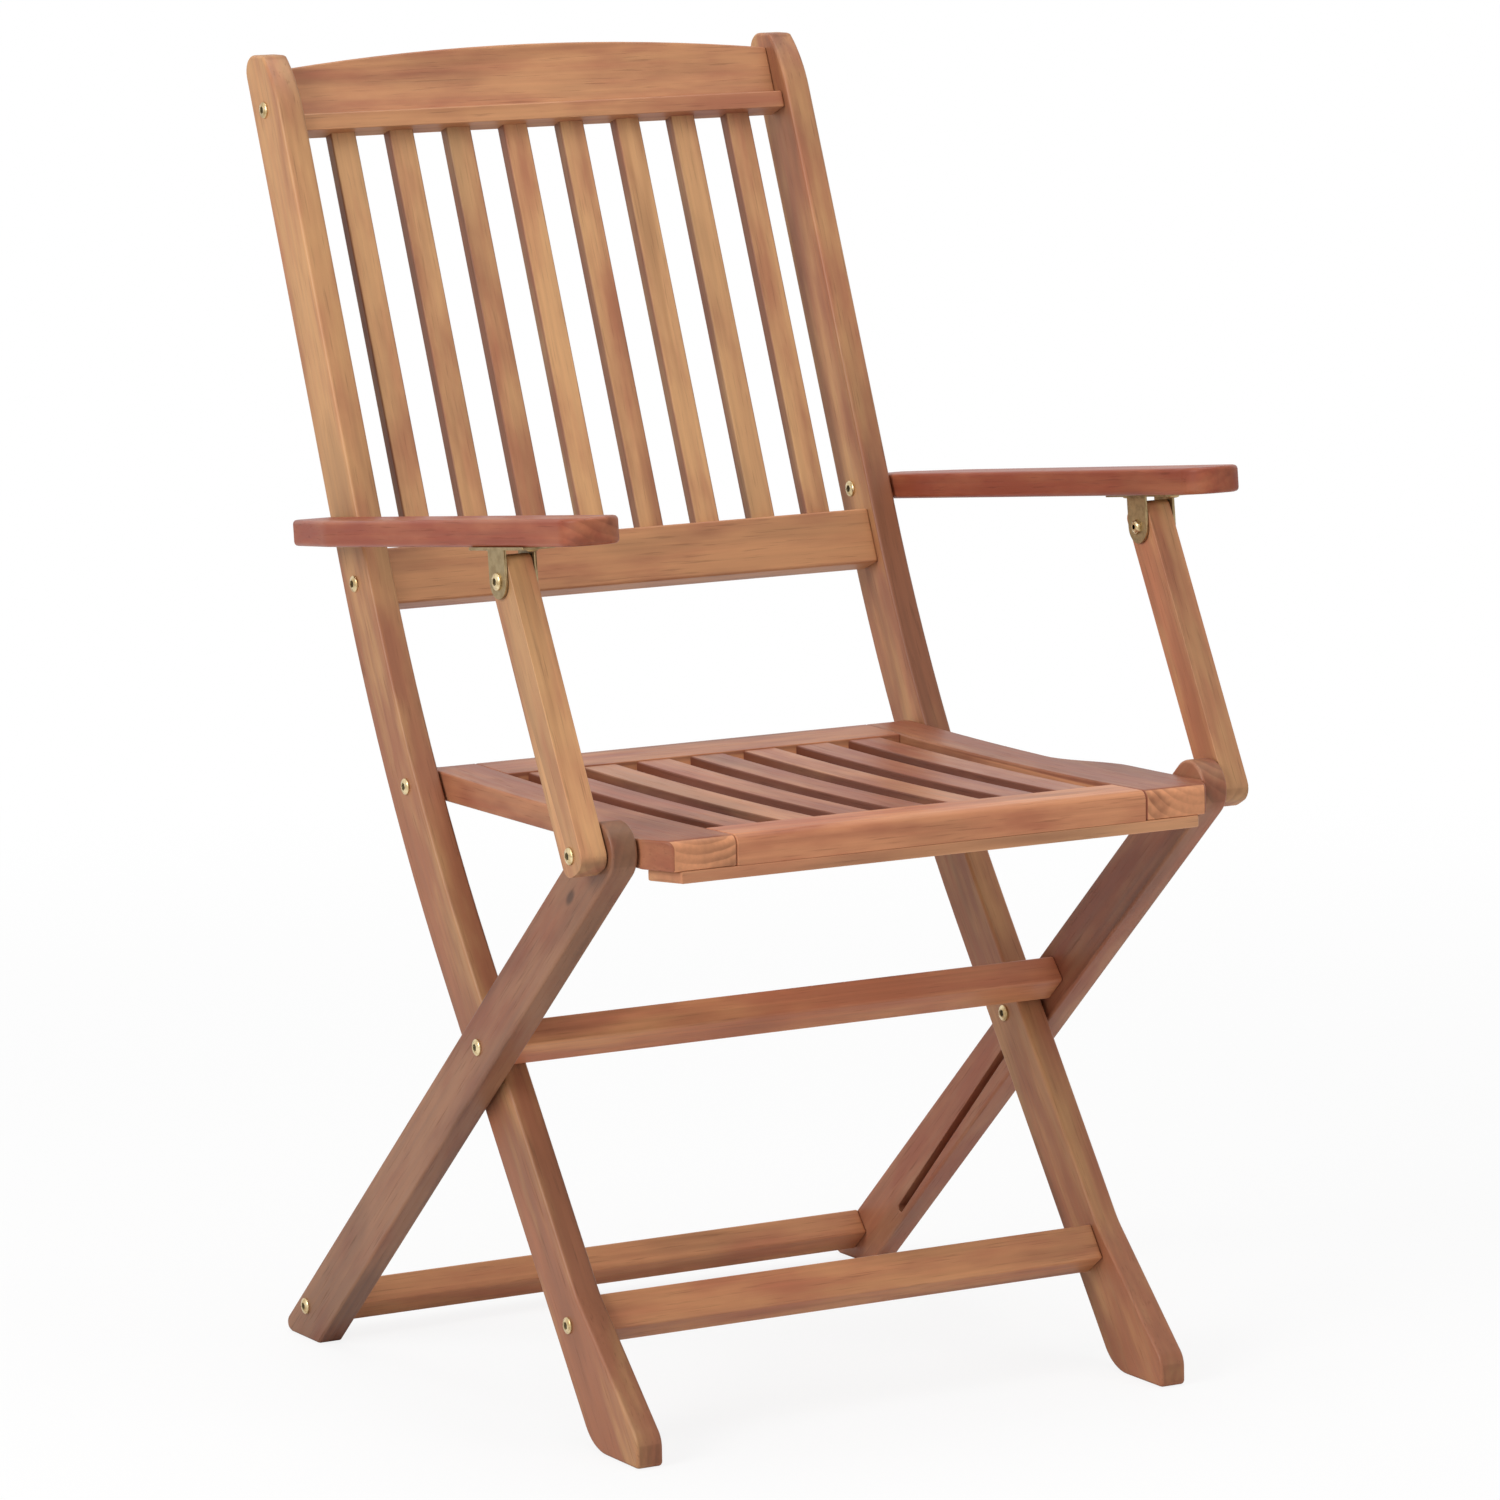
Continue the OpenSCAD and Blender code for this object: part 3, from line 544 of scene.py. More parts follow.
class Grain(Enum):
    """The directions of a board's grain and of its width."""

    ACROSS = RIGHT, along(0.0)
    BACK_RAIL = RIGHT, along(UPPER_LEAN)
    LEG_RAIL = RIGHT, along(LEG_LEAN)
    FOOT_RAIL = RIGHT, along(LOWER_LEAN)
    DEPTH = along(0.0), RIGHT
    STILE = along(UPPER_LEAN), rear_of(UPPER_LEAN)
    BACK = along(UPPER_LEAN), RIGHT
    LEG = along(LEG_LEAN), rear_of(LEG_LEAN)
    ARM = along(-ARM_SLOPE), RIGHT
    STRUT = along(STRUT_LEAN), rear_of(STRUT_LEAN)

    def coordinates(self, points: np.ndarray, middle: np.ndarray) -> np.ndarray:
        """Places of points in a board.

        Args:
            points: The points in the row frame, one row each.
            middle: The middle of the board, which a bent stile doesn't use.

        Returns:
            Places along the grain, across the board and through it.
        """
        u, v = (np.array(a) for a in self.value)
        w = np.cross(u, v)
        if self is not Grain.STILE:
            return (points - middle) @ np.stack((u, v, w), axis=1)
        knee = np.array((0.0, *KNEE))
        rise = BEND_R * math.tan((UPPER_LEAN - LOWER_LEAN) / 2)
        centre = knee + rise * u - BEND_R * v
        spoke = points - centre
        angle = np.arctan2(spoke[:, 2], spoke[:, 1]) + math.pi / 2
        bend = np.clip(angle, LOWER_LEAN, UPPER_LEAN)
        square = np.stack((0 * bend, np.sin(bend), -np.cos(bend)), axis=1)
        onward = np.stack((0 * bend, np.cos(bend), np.sin(bend)), axis=1)
        run = (spoke * onward).sum(1) + BEND_R * (bend - LOWER_LEAN)
        return np.stack((run, (spoke * square).sum(1) - BEND_R, points[:, 0]), axis=1)


@dataclass(frozen=True)
class WoodFinish:
    """Oiled hardwood.

    The colours are those of the pale wood, of the dark growth rings and of the broad
    reddish patches.
    """

    name: str
    pale: tuple[int, int, int]
    ring: tuple[int, int, int]
    patch: tuple[int, int, int]
    patch_share: float = 0.5
    ring_gap: float = 0.0062
    ring_depth: float = 0.16
    end_shade: float = 0.1
    end_rings: float = 0.12
    end_pale: float = 0.0
    roughness: float = 0.48
    coat: float = 0.06
    shine: float = 0.32

    def material(self) -> bpy.types.Material:
        """Builds the finish as a node material.

        Returns:
            The material, which reads the attributes of a board or a slat.
        """
        made = bpy.data.materials.new(self.name)
        g = emptied(made)
        grain = g.attribute("grain", "Vector")
        board = g.attribute("board")
        end = g.attribute("end").step(0.2, 0.9)
        wear_and_highlight = g.attribute("edge")
        place = g.vector("ADD", grain, g.join(board * 1.7, board * 0.37, board * 0.53))
        drawn = partial(g.drawn, place)
        u, v, w = g.parts(grain)

        # Growth rings lie round a pith beside the board and sway along it
        sway = drawn(0.4, 2.2) - 0.5
        wave = drawn(5.0, 60.0) - 0.5
        size = g.attribute("knot_size")
        knotty = (size * 1000.0).held()
        knot = g.vector("SUBTRACT", grain, g.attribute("knot", "Vector"))
        knot = g.vector("LENGTH", g.vector("MULTIPLY", knot, (0.45, 1.0, 1.0)), output=1)
        near = (1.0 - (knot / (size * 3.0 + 1e-4)).held()) * knotty
        across_v = v + (board * 2.3).sine() * 0.035 + sway * 0.05
        across_w = w + (board * 1.1).cosine() * 0.02 + 0.05 + sway * 0.02
        radius = (across_v * across_v + across_w * across_w).root()
        radius = radius + wave * 0.0028 + u * 0.006 + near * near * 0.006
        turn = (radius / self.ring_gap).fract()
        late = turn.step(0.1, 0.8) * (1.0 - turn.step(0.86, 1.0))
        rings = late * (drawn(2.0, 11.0, 1.0).step(0.35, 0.7) * 0.8 + 0.2)

        # Fibres, open pores, dark heartwood streaks and blotches of two sizes
        fibre = drawn(7.0, 330.0, 3.0)
        streak = drawn(2.6, 75.0)
        pore = drawn(30.0, 800.0).step(0.58, 0.74) * (1.0 - end)
        heart = drawn(3.2, 42.0, 3.0).step(0.55, 0.7)
        broad = drawn(3.0, 18.0)
        blotch = drawn(15.0, 52.0, 3.0)
        smudge = drawn(6.0, 24.0, 3.0).step(0.47, 0.66)
        # Painted shade on the slats' narrow sides, in the gaps between them, darker and redder
        gap_shade = g.attribute("gap_shade").step(0.87, 0.99)

        # Painted shade: a board darker and redder all round it below a point, and the arm's painted
        # shadow on a stretch of a stile's front face
        lower = (g.attribute("shade_from") + wave * 0.08 - u).step(-0.03, 0.06)
        arm_shadow_from = g.attribute("arm_shadow_from")
        under = arm_shadow_from - u
        front = 1.0 - v.step(STILE_FRONT + 0.0005, STILE_FRONT + 0.0024)
        front = front * arm_shadow_from.step(0.0, 0.1) * under.step(-0.03, 0.05)
        front = front * (1.0 - under.step(0.21, 0.3))
        lower = lower * g.attribute("shade") + front * 0.9
        middle = 0.5 - (self.patch_share - 0.5) * 0.4
        patch = broad * 0.35 + blotch * 0.4 + streak * 0.25 + g.attribute("hue")
        patch = patch + lower * 0.2 + gap_shade * 0.12 - end * self.end_pale
        patch = patch.step(middle - 0.11, middle + 0.13)

        deep = tuple(0.55 * c for c in linear(*self.patch)[:3]) + (1.0,)
        colour = g.mix(patch, linear(*self.pale), linear(*self.patch))
        dark = g.mix(patch, linear(*self.ring), deep)
        colour = g.mix((rings * self.ring_depth + heart * 0.42).held(), colour, dark)
        light = (0.75 + fibre * 0.32 + streak * 0.18) * (1.0 - pore * 0.22) * g.attribute("tone")
        light = light * (1.0 - end * (self.end_shade + rings * self.end_rings))
        # Rounded edges are lighter, partly as wear and partly as a painted highlight; the slats'
        # sides darker by the gaps' painted shade
        light = light * (1.0 + wear_and_highlight * 0.06) * (1.0 - gap_shade * 0.42) * (1.04 - smudge * 0.2)
        core = (1.0 - (knot / (size + 1e-4)).step(0.35, 1.0)) * knotty
        light = light * (1.0 - core * 0.6) * (1.0 - near * 0.12) * (1.0 - lower * 0.28)
        rough = self.roughness + (fibre - 0.5) * 0.22 + pore * 0.1 - wear_and_highlight * 0.05 + end * 0.12
        height = fibre * 0.5 - pore * 0.7 - rings * 0.2
        g.surface(
            colour, light, rough, {"Strength": 0.2, "Distance": 0.0004, "Height": height},
            {"Specular IOR Level": self.shine, "Coat Roughness": 0.26,
             "Coat Weight": self.coat * (1.0 - pore * 0.6)},
        )
        return made


@dataclass(frozen=True)
class MetalFinish:
    """Yellow-passivated steel, with a dull bloom, fine scratches and painted shade in its recesses.
    """

    name: str
    bright: tuple[int, int, int]
    dull: tuple[int, int, int]
    roughness: float = 0.3
    scratch: float = 900.0

    def material(self) -> bpy.types.Material:
        """Builds the finish as a node material.

        Returns:
            The material, which reads the attribute of the painted shade in the recesses.
        """
        made = bpy.data.materials.new(self.name)
        g = emptied(made)
        place = g.add("ShaderNodeTexCoord", output="Object")
        bloom = g.noise(place, 170.0, 3.0, 0.6).step(0.35, 0.7)
        lines = g.noise(g.vector("MULTIPLY", place, (1.0, 0.08, 1.0)), self.scratch, 2.0)
        hollow = g.attribute("hollow")
        colour = g.mix(bloom, linear(*self.bright), linear(*self.dull))
        # Painted shade darkens the recesses, such as the heads' sockets
        shade = (0.9 + lines * 0.2) * (1.0 - hollow * 0.86)
        rough = self.roughness + bloom * 0.14 + (lines - 0.5) * 0.2 + hollow * 0.3
        g.surface(
            colour, shade, rough, {"Strength": 0.12, "Distance": 0.0001, "Height": lines},
            {"Metallic": 0.9 - hollow * 0.7},
        )
        return made


FINISHES: dict[str, WoodFinish | MetalFinish] = {
    "stile_wood": WoodFinish("honey_stile", (192, 144, 98), (146, 94, 60), (162, 104, 74), 0.48),
    "rail_wood": WoodFinish("tan_rail", (190, 136, 94), (142, 90, 58), (160, 100, 72), 0.46),
    "back_slat_wood": WoodFinish(
        "honey_slat", (200, 152, 106), (148, 98, 62), (164, 106, 76), 0.46
    ),
    # Lighter, paler board ends: partly the end grain's own colour, partly painted light on the lit
    # front corner and its chamfer
    "seat_wood": WoodFinish(
        "rose_seat", (184, 126, 90), (116, 68, 48), (150, 88, 64), 0.52,
        end_shade=-0.54, end_rings=0.5, end_pale=0.34, roughness=0.46, coat=0.08, shine=0.2,
    ),
    "seat_slat_wood": WoodFinish(
        "rose_slat", (182, 126, 92), (118, 70, 50), (148, 86, 64), 0.52,
        roughness=0.44, coat=0.1, shine=0.2,
    ),
    "batten_wood": WoodFinish("tan_batten", (196, 142, 102), (150, 96, 64), (178, 118, 84), 0.4),
    "leg_wood": WoodFinish("brown_leg", (146, 103, 76), (92, 58, 42), (130, 76, 54), 0.48),
    "stretcher_wood": WoodFinish(
        "red_stretcher", (190, 134, 92), (128, 76, 48), (168, 104, 74), 0.52
    ),
    "arm_wood": WoodFinish(
        "red_arm", (160, 96, 66), (94, 44, 30), (136, 66, 46), 0.54,
        end_shade=-0.06, roughness=0.44, coat=0.1, shine=0.22,
    ),
    "strut_wood": WoodFinish("honey_strut", (202, 153, 106), (152, 98, 62), (176, 114, 82), 0.38),
    "bolts": MetalFinish("pale_brass", (232, 212, 168), (184, 156, 108), 0.22),
    "screws": MetalFinish("screw_brass", (206, 180, 130), (160, 136, 92), 0.3),
    "bracket_brass": MetalFinish("olive_brass", (176, 154, 114), (150, 128, 92), 0.36, 600.0),
    "washers": MetalFinish("washer_brass", (200, 176, 128), (150, 128, 90), 0.34),
}


@dataclass
class Shop:
    """What every sub-assembly draws on: the CAD nodes, their bodies and the finishes."""

    frame: dict[str, Any]
    body_of: dict[str, str] = field(default_factory=dict)
    slot_of: dict[str, str] = field(default_factory=dict)
    materials: dict[str, bpy.types.Material] = field(default_factory=dict)

    def __post_init__(self) -> None:
        """Reads the record and builds the finishes."""
        record = self.frame["record"]
        for body, nodes in record["behaviour"]["bodies"].items():
            self.body_of.update({node: body for node in nodes})
        self.slot_of = {s["node"]: s["material_slot"] for s in record["subparts"]}
        self.materials = {slot: finish.material() for slot, finish in FINISHES.items()}

    def finish(self, node: str) -> bpy.types.Material:
        """The finish of a node's slot."""
        return self.materials[self.slot_of[node]]

    def place(self, piece: bpy.types.Object, nodes: Sequence[str]) -> None:
        """Lets a piece stand for its nodes and move with their body.

        Args:
            piece: The finished piece.
            nodes: The CAD nodes that it stands for, all of one body and one slot.
        """
        slot = self.slot_of[nodes[0]]
        piece.data.materials.clear()
        piece.data.materials.append(self.finish(nodes[0]))
        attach(piece, self.body_of[nodes[0]])
        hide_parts(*nodes)
        log.info("%s: %d faces, %s", piece.name, len(piece.data.polygons), slot)

    def keep(self, node: str) -> None:
        """Shows a CAD node itself in its slot's finish.

        Args:
            node: The CAD node.
        """
        mesh = self.mesh(node)
        if not mesh.materials:
            mesh.materials.append(None)
        for i in range(len(mesh.materials)):
            mesh.materials[i] = self.finish(node)
        log.info("%s: kept, %s", node, self.slot_of[node])

    def mesh(self, node: str) -> bpy.types.Mesh:
        """The mesh of a CAD node."""
        return self.frame["nodes"][node].data

    def welded(self, node: str) -> bmesh.types.BMesh:
        """An editable copy of a CAD node with its seams closed.

        Args:
            node: The CAD node.

        Returns:
            The copy, which the caller frees.
        """
        bm = bmesh.new()
        bm.from_mesh(self.mesh(node))
        bmesh.ops.remove_doubles(bm, verts=bm.verts, dist=WELD)
        return bm

    def softened(self, node: str, name: str, edge: float, fine: float = 1.0) -> bpy.types.Object:
        """Copies a CAD node and rounds its outer edges.

        Args:
            node: The CAD node.
            name: The new piece's name.
            edge: Radius of the rounded edges.
            fine: Share of that radius on the rims of grooves.

        Returns:
            The piece, with the "edge" attribute at 1 along the rounded edges.
        """
        bm = self.welded(node)
        bmesh.ops.dissolve_limit(bm, angle_limit=LEVEL, verts=bm.verts, edges=bm.edges)
        weights = bm.edges.layers.float.new("bevel_weight_edge")
        for loop in rims(bm):
            spots = np.array([v.co for e in loop for v in e.verts])
            extent = spots.max(0) - spots.min(0)
            whole = np.linalg.norm(extent)
            upright = extent[0] < 10 * WELD
            groove = upright and len(loop) > GROOVE_EDGES and whole < GROOVE_LONGEST
            share = 0.0 if whole < BORE_WIDEST else fine if groove else 1.0
            for e in loop:
                e[weights] = share
        mesh = bpy.data.meshes.new(name)
        bm.to_mesh(mesh)
        bm.free()
        piece = shown(name, mesh)
        mesh.materials.append(None)
        mesh.materials.append(None)
        bevel = piece.modifiers.new("round", "BEVEL")
        bevel.limit_method = "WEIGHT"
        bevel.width = edge
        bevel.segments = 3
        bevel.use_clamp_overlap = False
        bevel.material = 1
        piece.data = applied(piece)
        mesh = piece.data
        flat = np.zeros(len(mesh.vertices), bool)
        for face in mesh.polygons:
            if face.material_index == 0:
                flat[list(face.vertices)] = True
            face.material_index = 0
            face.use_smooth = True
        write(mesh, "edge", 1.0 - flat)
        soften(piece)
        return piece


def groups(items: Sequence[Any], around: Callable[[Any], Iterable[Any]]) -> Iterable[list[Any]]:
    """Splits items into groups that hang together.

    Args:
        items: The items, whose order the groups keep.
        around: Gives the neighbours of an item.

    Yields:
        One group after another.
    """
    left = set(items)
    for first in items:
        if first in left:
            left.remove(first)
            group = [first]
            for item in group:
                for other in around(item):
                    if other in left:
                        left.remove(other)
                        group.append(other)
            yield group


def rims(bm: bmesh.types.BMesh) -> Iterable[list[bmesh.types.BMEdge]]:
    """The convex sharp edges of a mesh, in groups that hang together.

    Args:
        bm: The mesh.

    Returns:
        One group of edges after another.
    """
    sharp = [
        e for e in bm.edges
        if len(e.link_faces) == 2 and e.calc_face_angle_signed(0.0) > SHARP
    ]
    return groups(sharp, lambda e: [other for v in e.verts for other in v.link_edges])


@dataclass(frozen=True)
class Board:
    """One board and how its wood looks.

    A knot is given by its place in the row frame and its radius. Painted shade makes the
    board darker and redder by "shade" from the point "shade_from" toward the start of the
    grain: the arm's shadow on the right stile, and darker below the seat on the left one.
    The arm's painted shadow also darkens a stretch of the front face from the place
    "arm_shadow_from" along the grain. The front face has the tone of the others times
    "front_painted_light", painted light that makes it lighter or darker than the sides.
    """

    node: str
    grain: Grain
    tone: float = 1.0
    hue: float = 0.0
    edge: float = 0.002
    fine: float = 0.3
    knot: tuple[float, float, float] = (0.0, 0.0, 0.0)
    knot_size: float = 0.0
    shade_from: tuple[float, float, float] = (0.0, 0.0, 0.0)
    shade: float = 0.0
    arm_shadow_from: float = 0.0
    front_painted_light: float = 1.0


@dataclass
class SubAssembly:
    """A body of the chair that is made of boards."""

    shop: Shop
    first_number: int = 0

    def boards(self) -> list[Board]:
        """The boards of this sub-assembly."""
        return []

    def dress(self, board: Board, number: int) -> None:
        """Builds one board with the attributes that its wood reads.

        Args:
            board: The board.
            number: A number that gives it a grain of its own.
        """
        piece = self.shop.softened(board.node, board.node + "_oiled", board.edge, board.fine)
        mesh = piece.data
        points = places(mesh)
        middle = (points.max(0) + points.min(0)) / 2
        marks = board.grain.coordinates(np.array((board.knot, board.shade_from)), middle)
        tone = np.full(len(points), board.tone)
        # Painted light: faces turned to the front take the tone times the board's front factor,
        # lighter or darker than the sides
        for face in mesh.polygons:
            if face.normal @ board.grain.value[1] < -FRONT_SLOPE:
                tone[list(face.vertices)] = board.tone * board.front_painted_light
        write(mesh, "tone", tone)
        write(mesh, "grain", board.grain.coordinates(points, middle))
        write(mesh, "end", end_grain(mesh, board.grain))
        write(mesh, "knot", np.tile(marks[0], (len(points), 1)))
        values = {
            "board": float(number), "hue": board.hue, "knot_size": board.knot_size,
            "shade_from": marks[1][0], "shade": board.shade, "arm_shadow_from": board.arm_shadow_from,
        }
        for name, value in values.items():
            write(mesh, name, np.full(len(points), value))
        self.shop.place(piece, [board.node])

    def build(self) -> None:
        """Builds every board of this sub-assembly."""
        for i, board in enumerate(self.boards()):
            self.dress(board, self.first_number + i)


def end_grain(mesh: bpy.types.Mesh, grain: Grain) -> np.ndarray:
    """1 at the vertices of faces cut across the grain, leaving bores out, else 0.

    Args:
        mesh: The board's mesh.
        grain: The directions of its grain and width.

    Returns:
        One number for each vertex.
    """
    found = np.zeros(len(mesh.vertices))
    for face in mesh.polygons:
        direction = grain.value[0]
        if grain is Grain.STILE and face.center[2] < KNEE[1]:
            direction = along(LOWER_LEAN)
        if abs(face.normal @ direction) > END_SLOPE and face.area > SMALLEST_END:
            found[list(face.vertices)] = 1.0
    return found


@dataclass
class SlatRow:
    """A row of slats between two boards, all swept from one rounded section."""

    shop: Shop
    name: str
    grain: Grain
    tones: Sequence[float]
    hues: Sequence[float]
    corner: float
    first_number: int
    end_fit: float = 0.0004
    dish: float = 0.0
    dish_half: float = 1.0
    dish_middle: float = 0.0
    segments: int = 24
    seed: int = 7

    @property
    def nodes(self) -> list[str]:
        """The CAD nodes of the slats."""
        return [f"{self.name[:-1]}_{i + 1}" for i in range(len(self.tones))]

    def tree(self, width: float, thickness: float, length: float) -> Tree:
        """Builds the tree that sweeps a slat of these sizes on each point.

        Args:
            width: The slat's width.
            thickness: Its thickness.
            length: Its length, tenons left out.

        Returns:
            The tree.
        """
        t = Tree(self.name + "_sweep")
        wide, thick = t.size("Width", width), t.size("Thickness", thickness)
        long, corner = t.size("Length", length), t.size("Corner Radius", self.corner)
        dish = t.size("Dish", self.dish)
        half = t.size("Dish Half Span", self.dish_half)
        middle = t.size("Dish Middle", self.dish_middle)
        spread = t.size("Tone Spread", 0.03)
        seed = t.size("Seed", self.seed)
        material = t.size("Finish", self.shop.finish(self.nodes[0]))
        section = t.add("GeometryNodeCurvePrimitiveQuadrilateral", {0: wide, 1: thick})
        rounded = t.add(
            "GeometryNodeFilletCurve", {"Curve": section, "Count": 4, "Radius": corner}, mode="POLY"
        )
        line = t.add(
            "GeometryNodeCurvePrimitiveLine",
            {"Start": t.join(0.0, 0.0, long * -0.5), "End": t.join(0.0, 0.0, long * 0.5)},
        )
        line = t.add("GeometryNodeResampleCurve", {"Curve": line, "Count": self.segments})
        bar = t.add(
            "GeometryNodeCurveToMesh", {"Curve": line, "Profile Curve": rounded, "Fill Caps": True}
        )
        x, y, z = t.parts(t.add("GeometryNodeInputPosition"))
        bar = t.store(bar, "grain", t.join(z, x, y), "FLOAT_VECTOR")
        # Marks the narrow sides for the painted shade of the gaps between slats
        bar = t.store(bar, "gap_shade", (x / wide * 2.0).absolute())
        t_run = (z - middle) / half
        drop = dish * (1.0 - t_run * t_run) * (y / thick + 0.5)
        bar = t.add(
            "GeometryNodeSetPosition", {"Geometry": bar, "Offset": t.join(0.0, 0.0 - drop, 0.0)}
        )
        slats = t.put(bar, t.named("turn", "FLOAT_VECTOR"))
        chance = t.chance(0.0 - spread, spread, seed)
        slats = t.store(slats, "tone", t.named("tone") + chance, domain="INSTANCE")
        t.finish(slats, material)
        return t

    def build(self) -> None:
        """Sweeps the slats and lets them stand for their nodes."""
        u, across = self.grain.value
        axes = np.array((-across, across.cross(u), u)).T
        shoulders = [places(self.shop.mesh(n)) @ axes for n in self.nodes]
        low, high = np.array([self.body_span(s) for s in shoulders]).transpose(1, 0, 2)
        size = (high - low).mean(0) + (0.0, 0.0, 2 * self.end_fit)
        turn = Matrix(axes.tolist()).to_euler()
        mesh = cloud(
            self.name, (low + high) / 2 @ axes.T, turn=[turn] * len(self.nodes),
            tone=self.tones, hue=self.hues, board=self.first_number + np.arange(len(low)) * 1.0,
        )
        piece = self.tree(*(float(s) for s in size)).grow(self.name, mesh)
        soften(piece)
        self.shop.place(piece, self.nodes)

    @staticmethod
    def body_span(points: np.ndarray) -> tuple[np.ndarray, np.ndarray]:
        """Lowest and highest corner of a slat without its thinner tenons.

        Args:
            points: The slat's vertices, with its length on the third axis.

        Returns:
            The two corners.
        """
        low, high = points.min(0), points.max(0)
        wide = points[np.abs(points[:, 0] - low[0]) < SIDE_DEPTH]
        low[2], high[2] = wide[:, 2].min(), wide[:, 2].max()
        return low, high


@dataclass
class BackFrame(SubAssembly):
    """The bent stiles with the rails and slats of the back and the front stretcher."""

    slat_tones: tuple[float, ...] = (0.99, 0.98, 0.98, 1.06, 0.98, 1.04, 0.99, 0.97)
    slat_hues: tuple[float, ...] = (-0.03, 0.0, 0.03, -0.05, 0.0, -0.05, -0.01, 0.02)
    slat_corner: float = 0.0016

    def boards(self) -> list[Board]:
        """Stiles, rails and stretcher.

        Returns:
            An entry for each board of the back frame.
        """
        return [
            # Painted shade on the stiles: the arm's shadow below the arm on the right stile and on
            # the left stile's front face, and darker below the seat on the left stile
            Board(
                "right_stile", Grain.STILE, 0.99, -0.02, 0.0024,
                shade_from=(-0.2, 0.14, 0.565), shade=0.55,
            ),
            Board(
                "left_stile", Grain.STILE, 0.99, 0.01, 0.0024,
                shade_from=(0.2, 0.07, 0.385), shade=0.28, arm_shadow_from=0.34,
            ),
            Board("crest_rail", Grain.BACK_RAIL, 1.0, 0.0, 0.0018),
            Board("lower_back_rail", Grain.BACK_RAIL, 0.98, -0.04, 0.0018),
            Board("front_stretcher", Grain.FOOT_RAIL, 1.08, -0.04, 0.0018),
        ]

    def build(self) -> None:
        """Builds the boards and the back slats."""
        super().build()
        SlatRow(
            self.shop, "back_slats", Grain.BACK, self.slat_tones, self.slat_hues,
            self.slat_corner, 20,
        ).build()


@dataclass
class Seat(SubAssembly):
    """The seat: side boards, front board, rear rail, slats and the batten below."""

    slat_tones: tuple[float, ...] = (1.07, 1.05, 1.1, 1.01, 1.06, 1.01, 1.0)
    slat_hues: tuple[float, ...] = (0.04, -0.05, 0.05, 0.0, -0.06, 0.06, 0.0)
    slat_corner: float = 0.0014
    dish: float = 0.0025

    def boards(self) -> list[Board]:
        """Side boards, cross boards and batten.

        Returns:
            An entry for each board of the seat.
        """
        return [
            Board("right_seat_board", Grain.DEPTH, 0.91, 0.05, 0.0016, 1.0),
            Board("left_seat_board", Grain.DEPTH, 0.88, 0.04, 0.0016, 1.0),
            Board("seat_front_board", Grain.ACROSS, 1.31, -0.04, 0.0009),
            Board("seat_rear_rail", Grain.ACROSS, 0.98, 0.05, 0.0009),
            Board("seat_batten", Grain.ACROSS, 1.1, 0.0, 0.0012),
        ]

    def build(self) -> None:
        """Builds the boards and the seat slats."""
        super().build()
        low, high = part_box("right_seat_board")
        near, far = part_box("seat_slat_1")
        middle = (low.y + high.y) / 2 - (near.y + far.y) / 2
        SlatRow(
            self.shop, "seat_slats", Grain.DEPTH, self.slat_tones, self.slat_hues,
            self.slat_corner, 40, dish=self.dish,
            dish_half=(high.y - low.y) / 2 - 0.008, dish_middle=middle,
        ).build()


@dataclass
class RearLegs(SubAssembly):
    """The grooved rear legs and their two stretchers."""

    knot: tuple[float, float, float] = (-0.234, -0.213, 0.376)
    knot_size: float = 0.0045

    def boards(self) -> list[Board]:
        """Legs and stretchers.

        Returns:
            An entry for each board of the rear legs.
        """
        return [
            Board(
                "right_rear_leg", Grain.LEG, 0.97, -0.03, 0.0022, 0.25,
                self.knot, self.knot_size,
            ),
            # The left leg's high tone is partly its own paler colour and partly painted light on
            # its shaded inner face
            Board("left_rear_leg", Grain.LEG, 1.44, 0.03, 0.0022, 0.25),
            Board("upper_stretcher", Grain.LEG_RAIL, 1.22, 0.05, 0.0016),
            Board("lower_stretcher", Grain.LEG_RAIL, 1.0, 0.0, 0.0016),
        ]


@dataclass
class Arm(SubAssembly):
    """One arm with the bracket below it."""

    side: str = "left"

    def boards(self) -> list[Board]:
        """The arm's one board."""
        hue = 0.06 if self.side == "left" else 0.0
        return [Board(self.side + "_arm_board", Grain.ARM, 1.0, hue, 0.0028)]

    def build(self) -> None:
        """Builds the board and the bracket."""
        super().build()
        node = self.side + "_bracket"
        self.shop.place(self.shop.softened(node, node + "_strip", 0.0004), [node])


@dataclass
class Strut(SubAssembly):
    """One strut between an arm and the seat's front corner."""

    side: str = "left"

    def boards(self) -> list[Board]:
        """The strut's one board."""
        # The right strut is darker overall with its front face lighter by its own factor: painted
        # light, as if lit from the front more than from the side
        tone, hue, front = (1.08, 0.1, 1.0) if self.side == "left" else (0.77, 0.02, 1.42)
        return [Board(self.side + "_strut", Grain.STRUT, tone, hue, front_painted_light=front)]


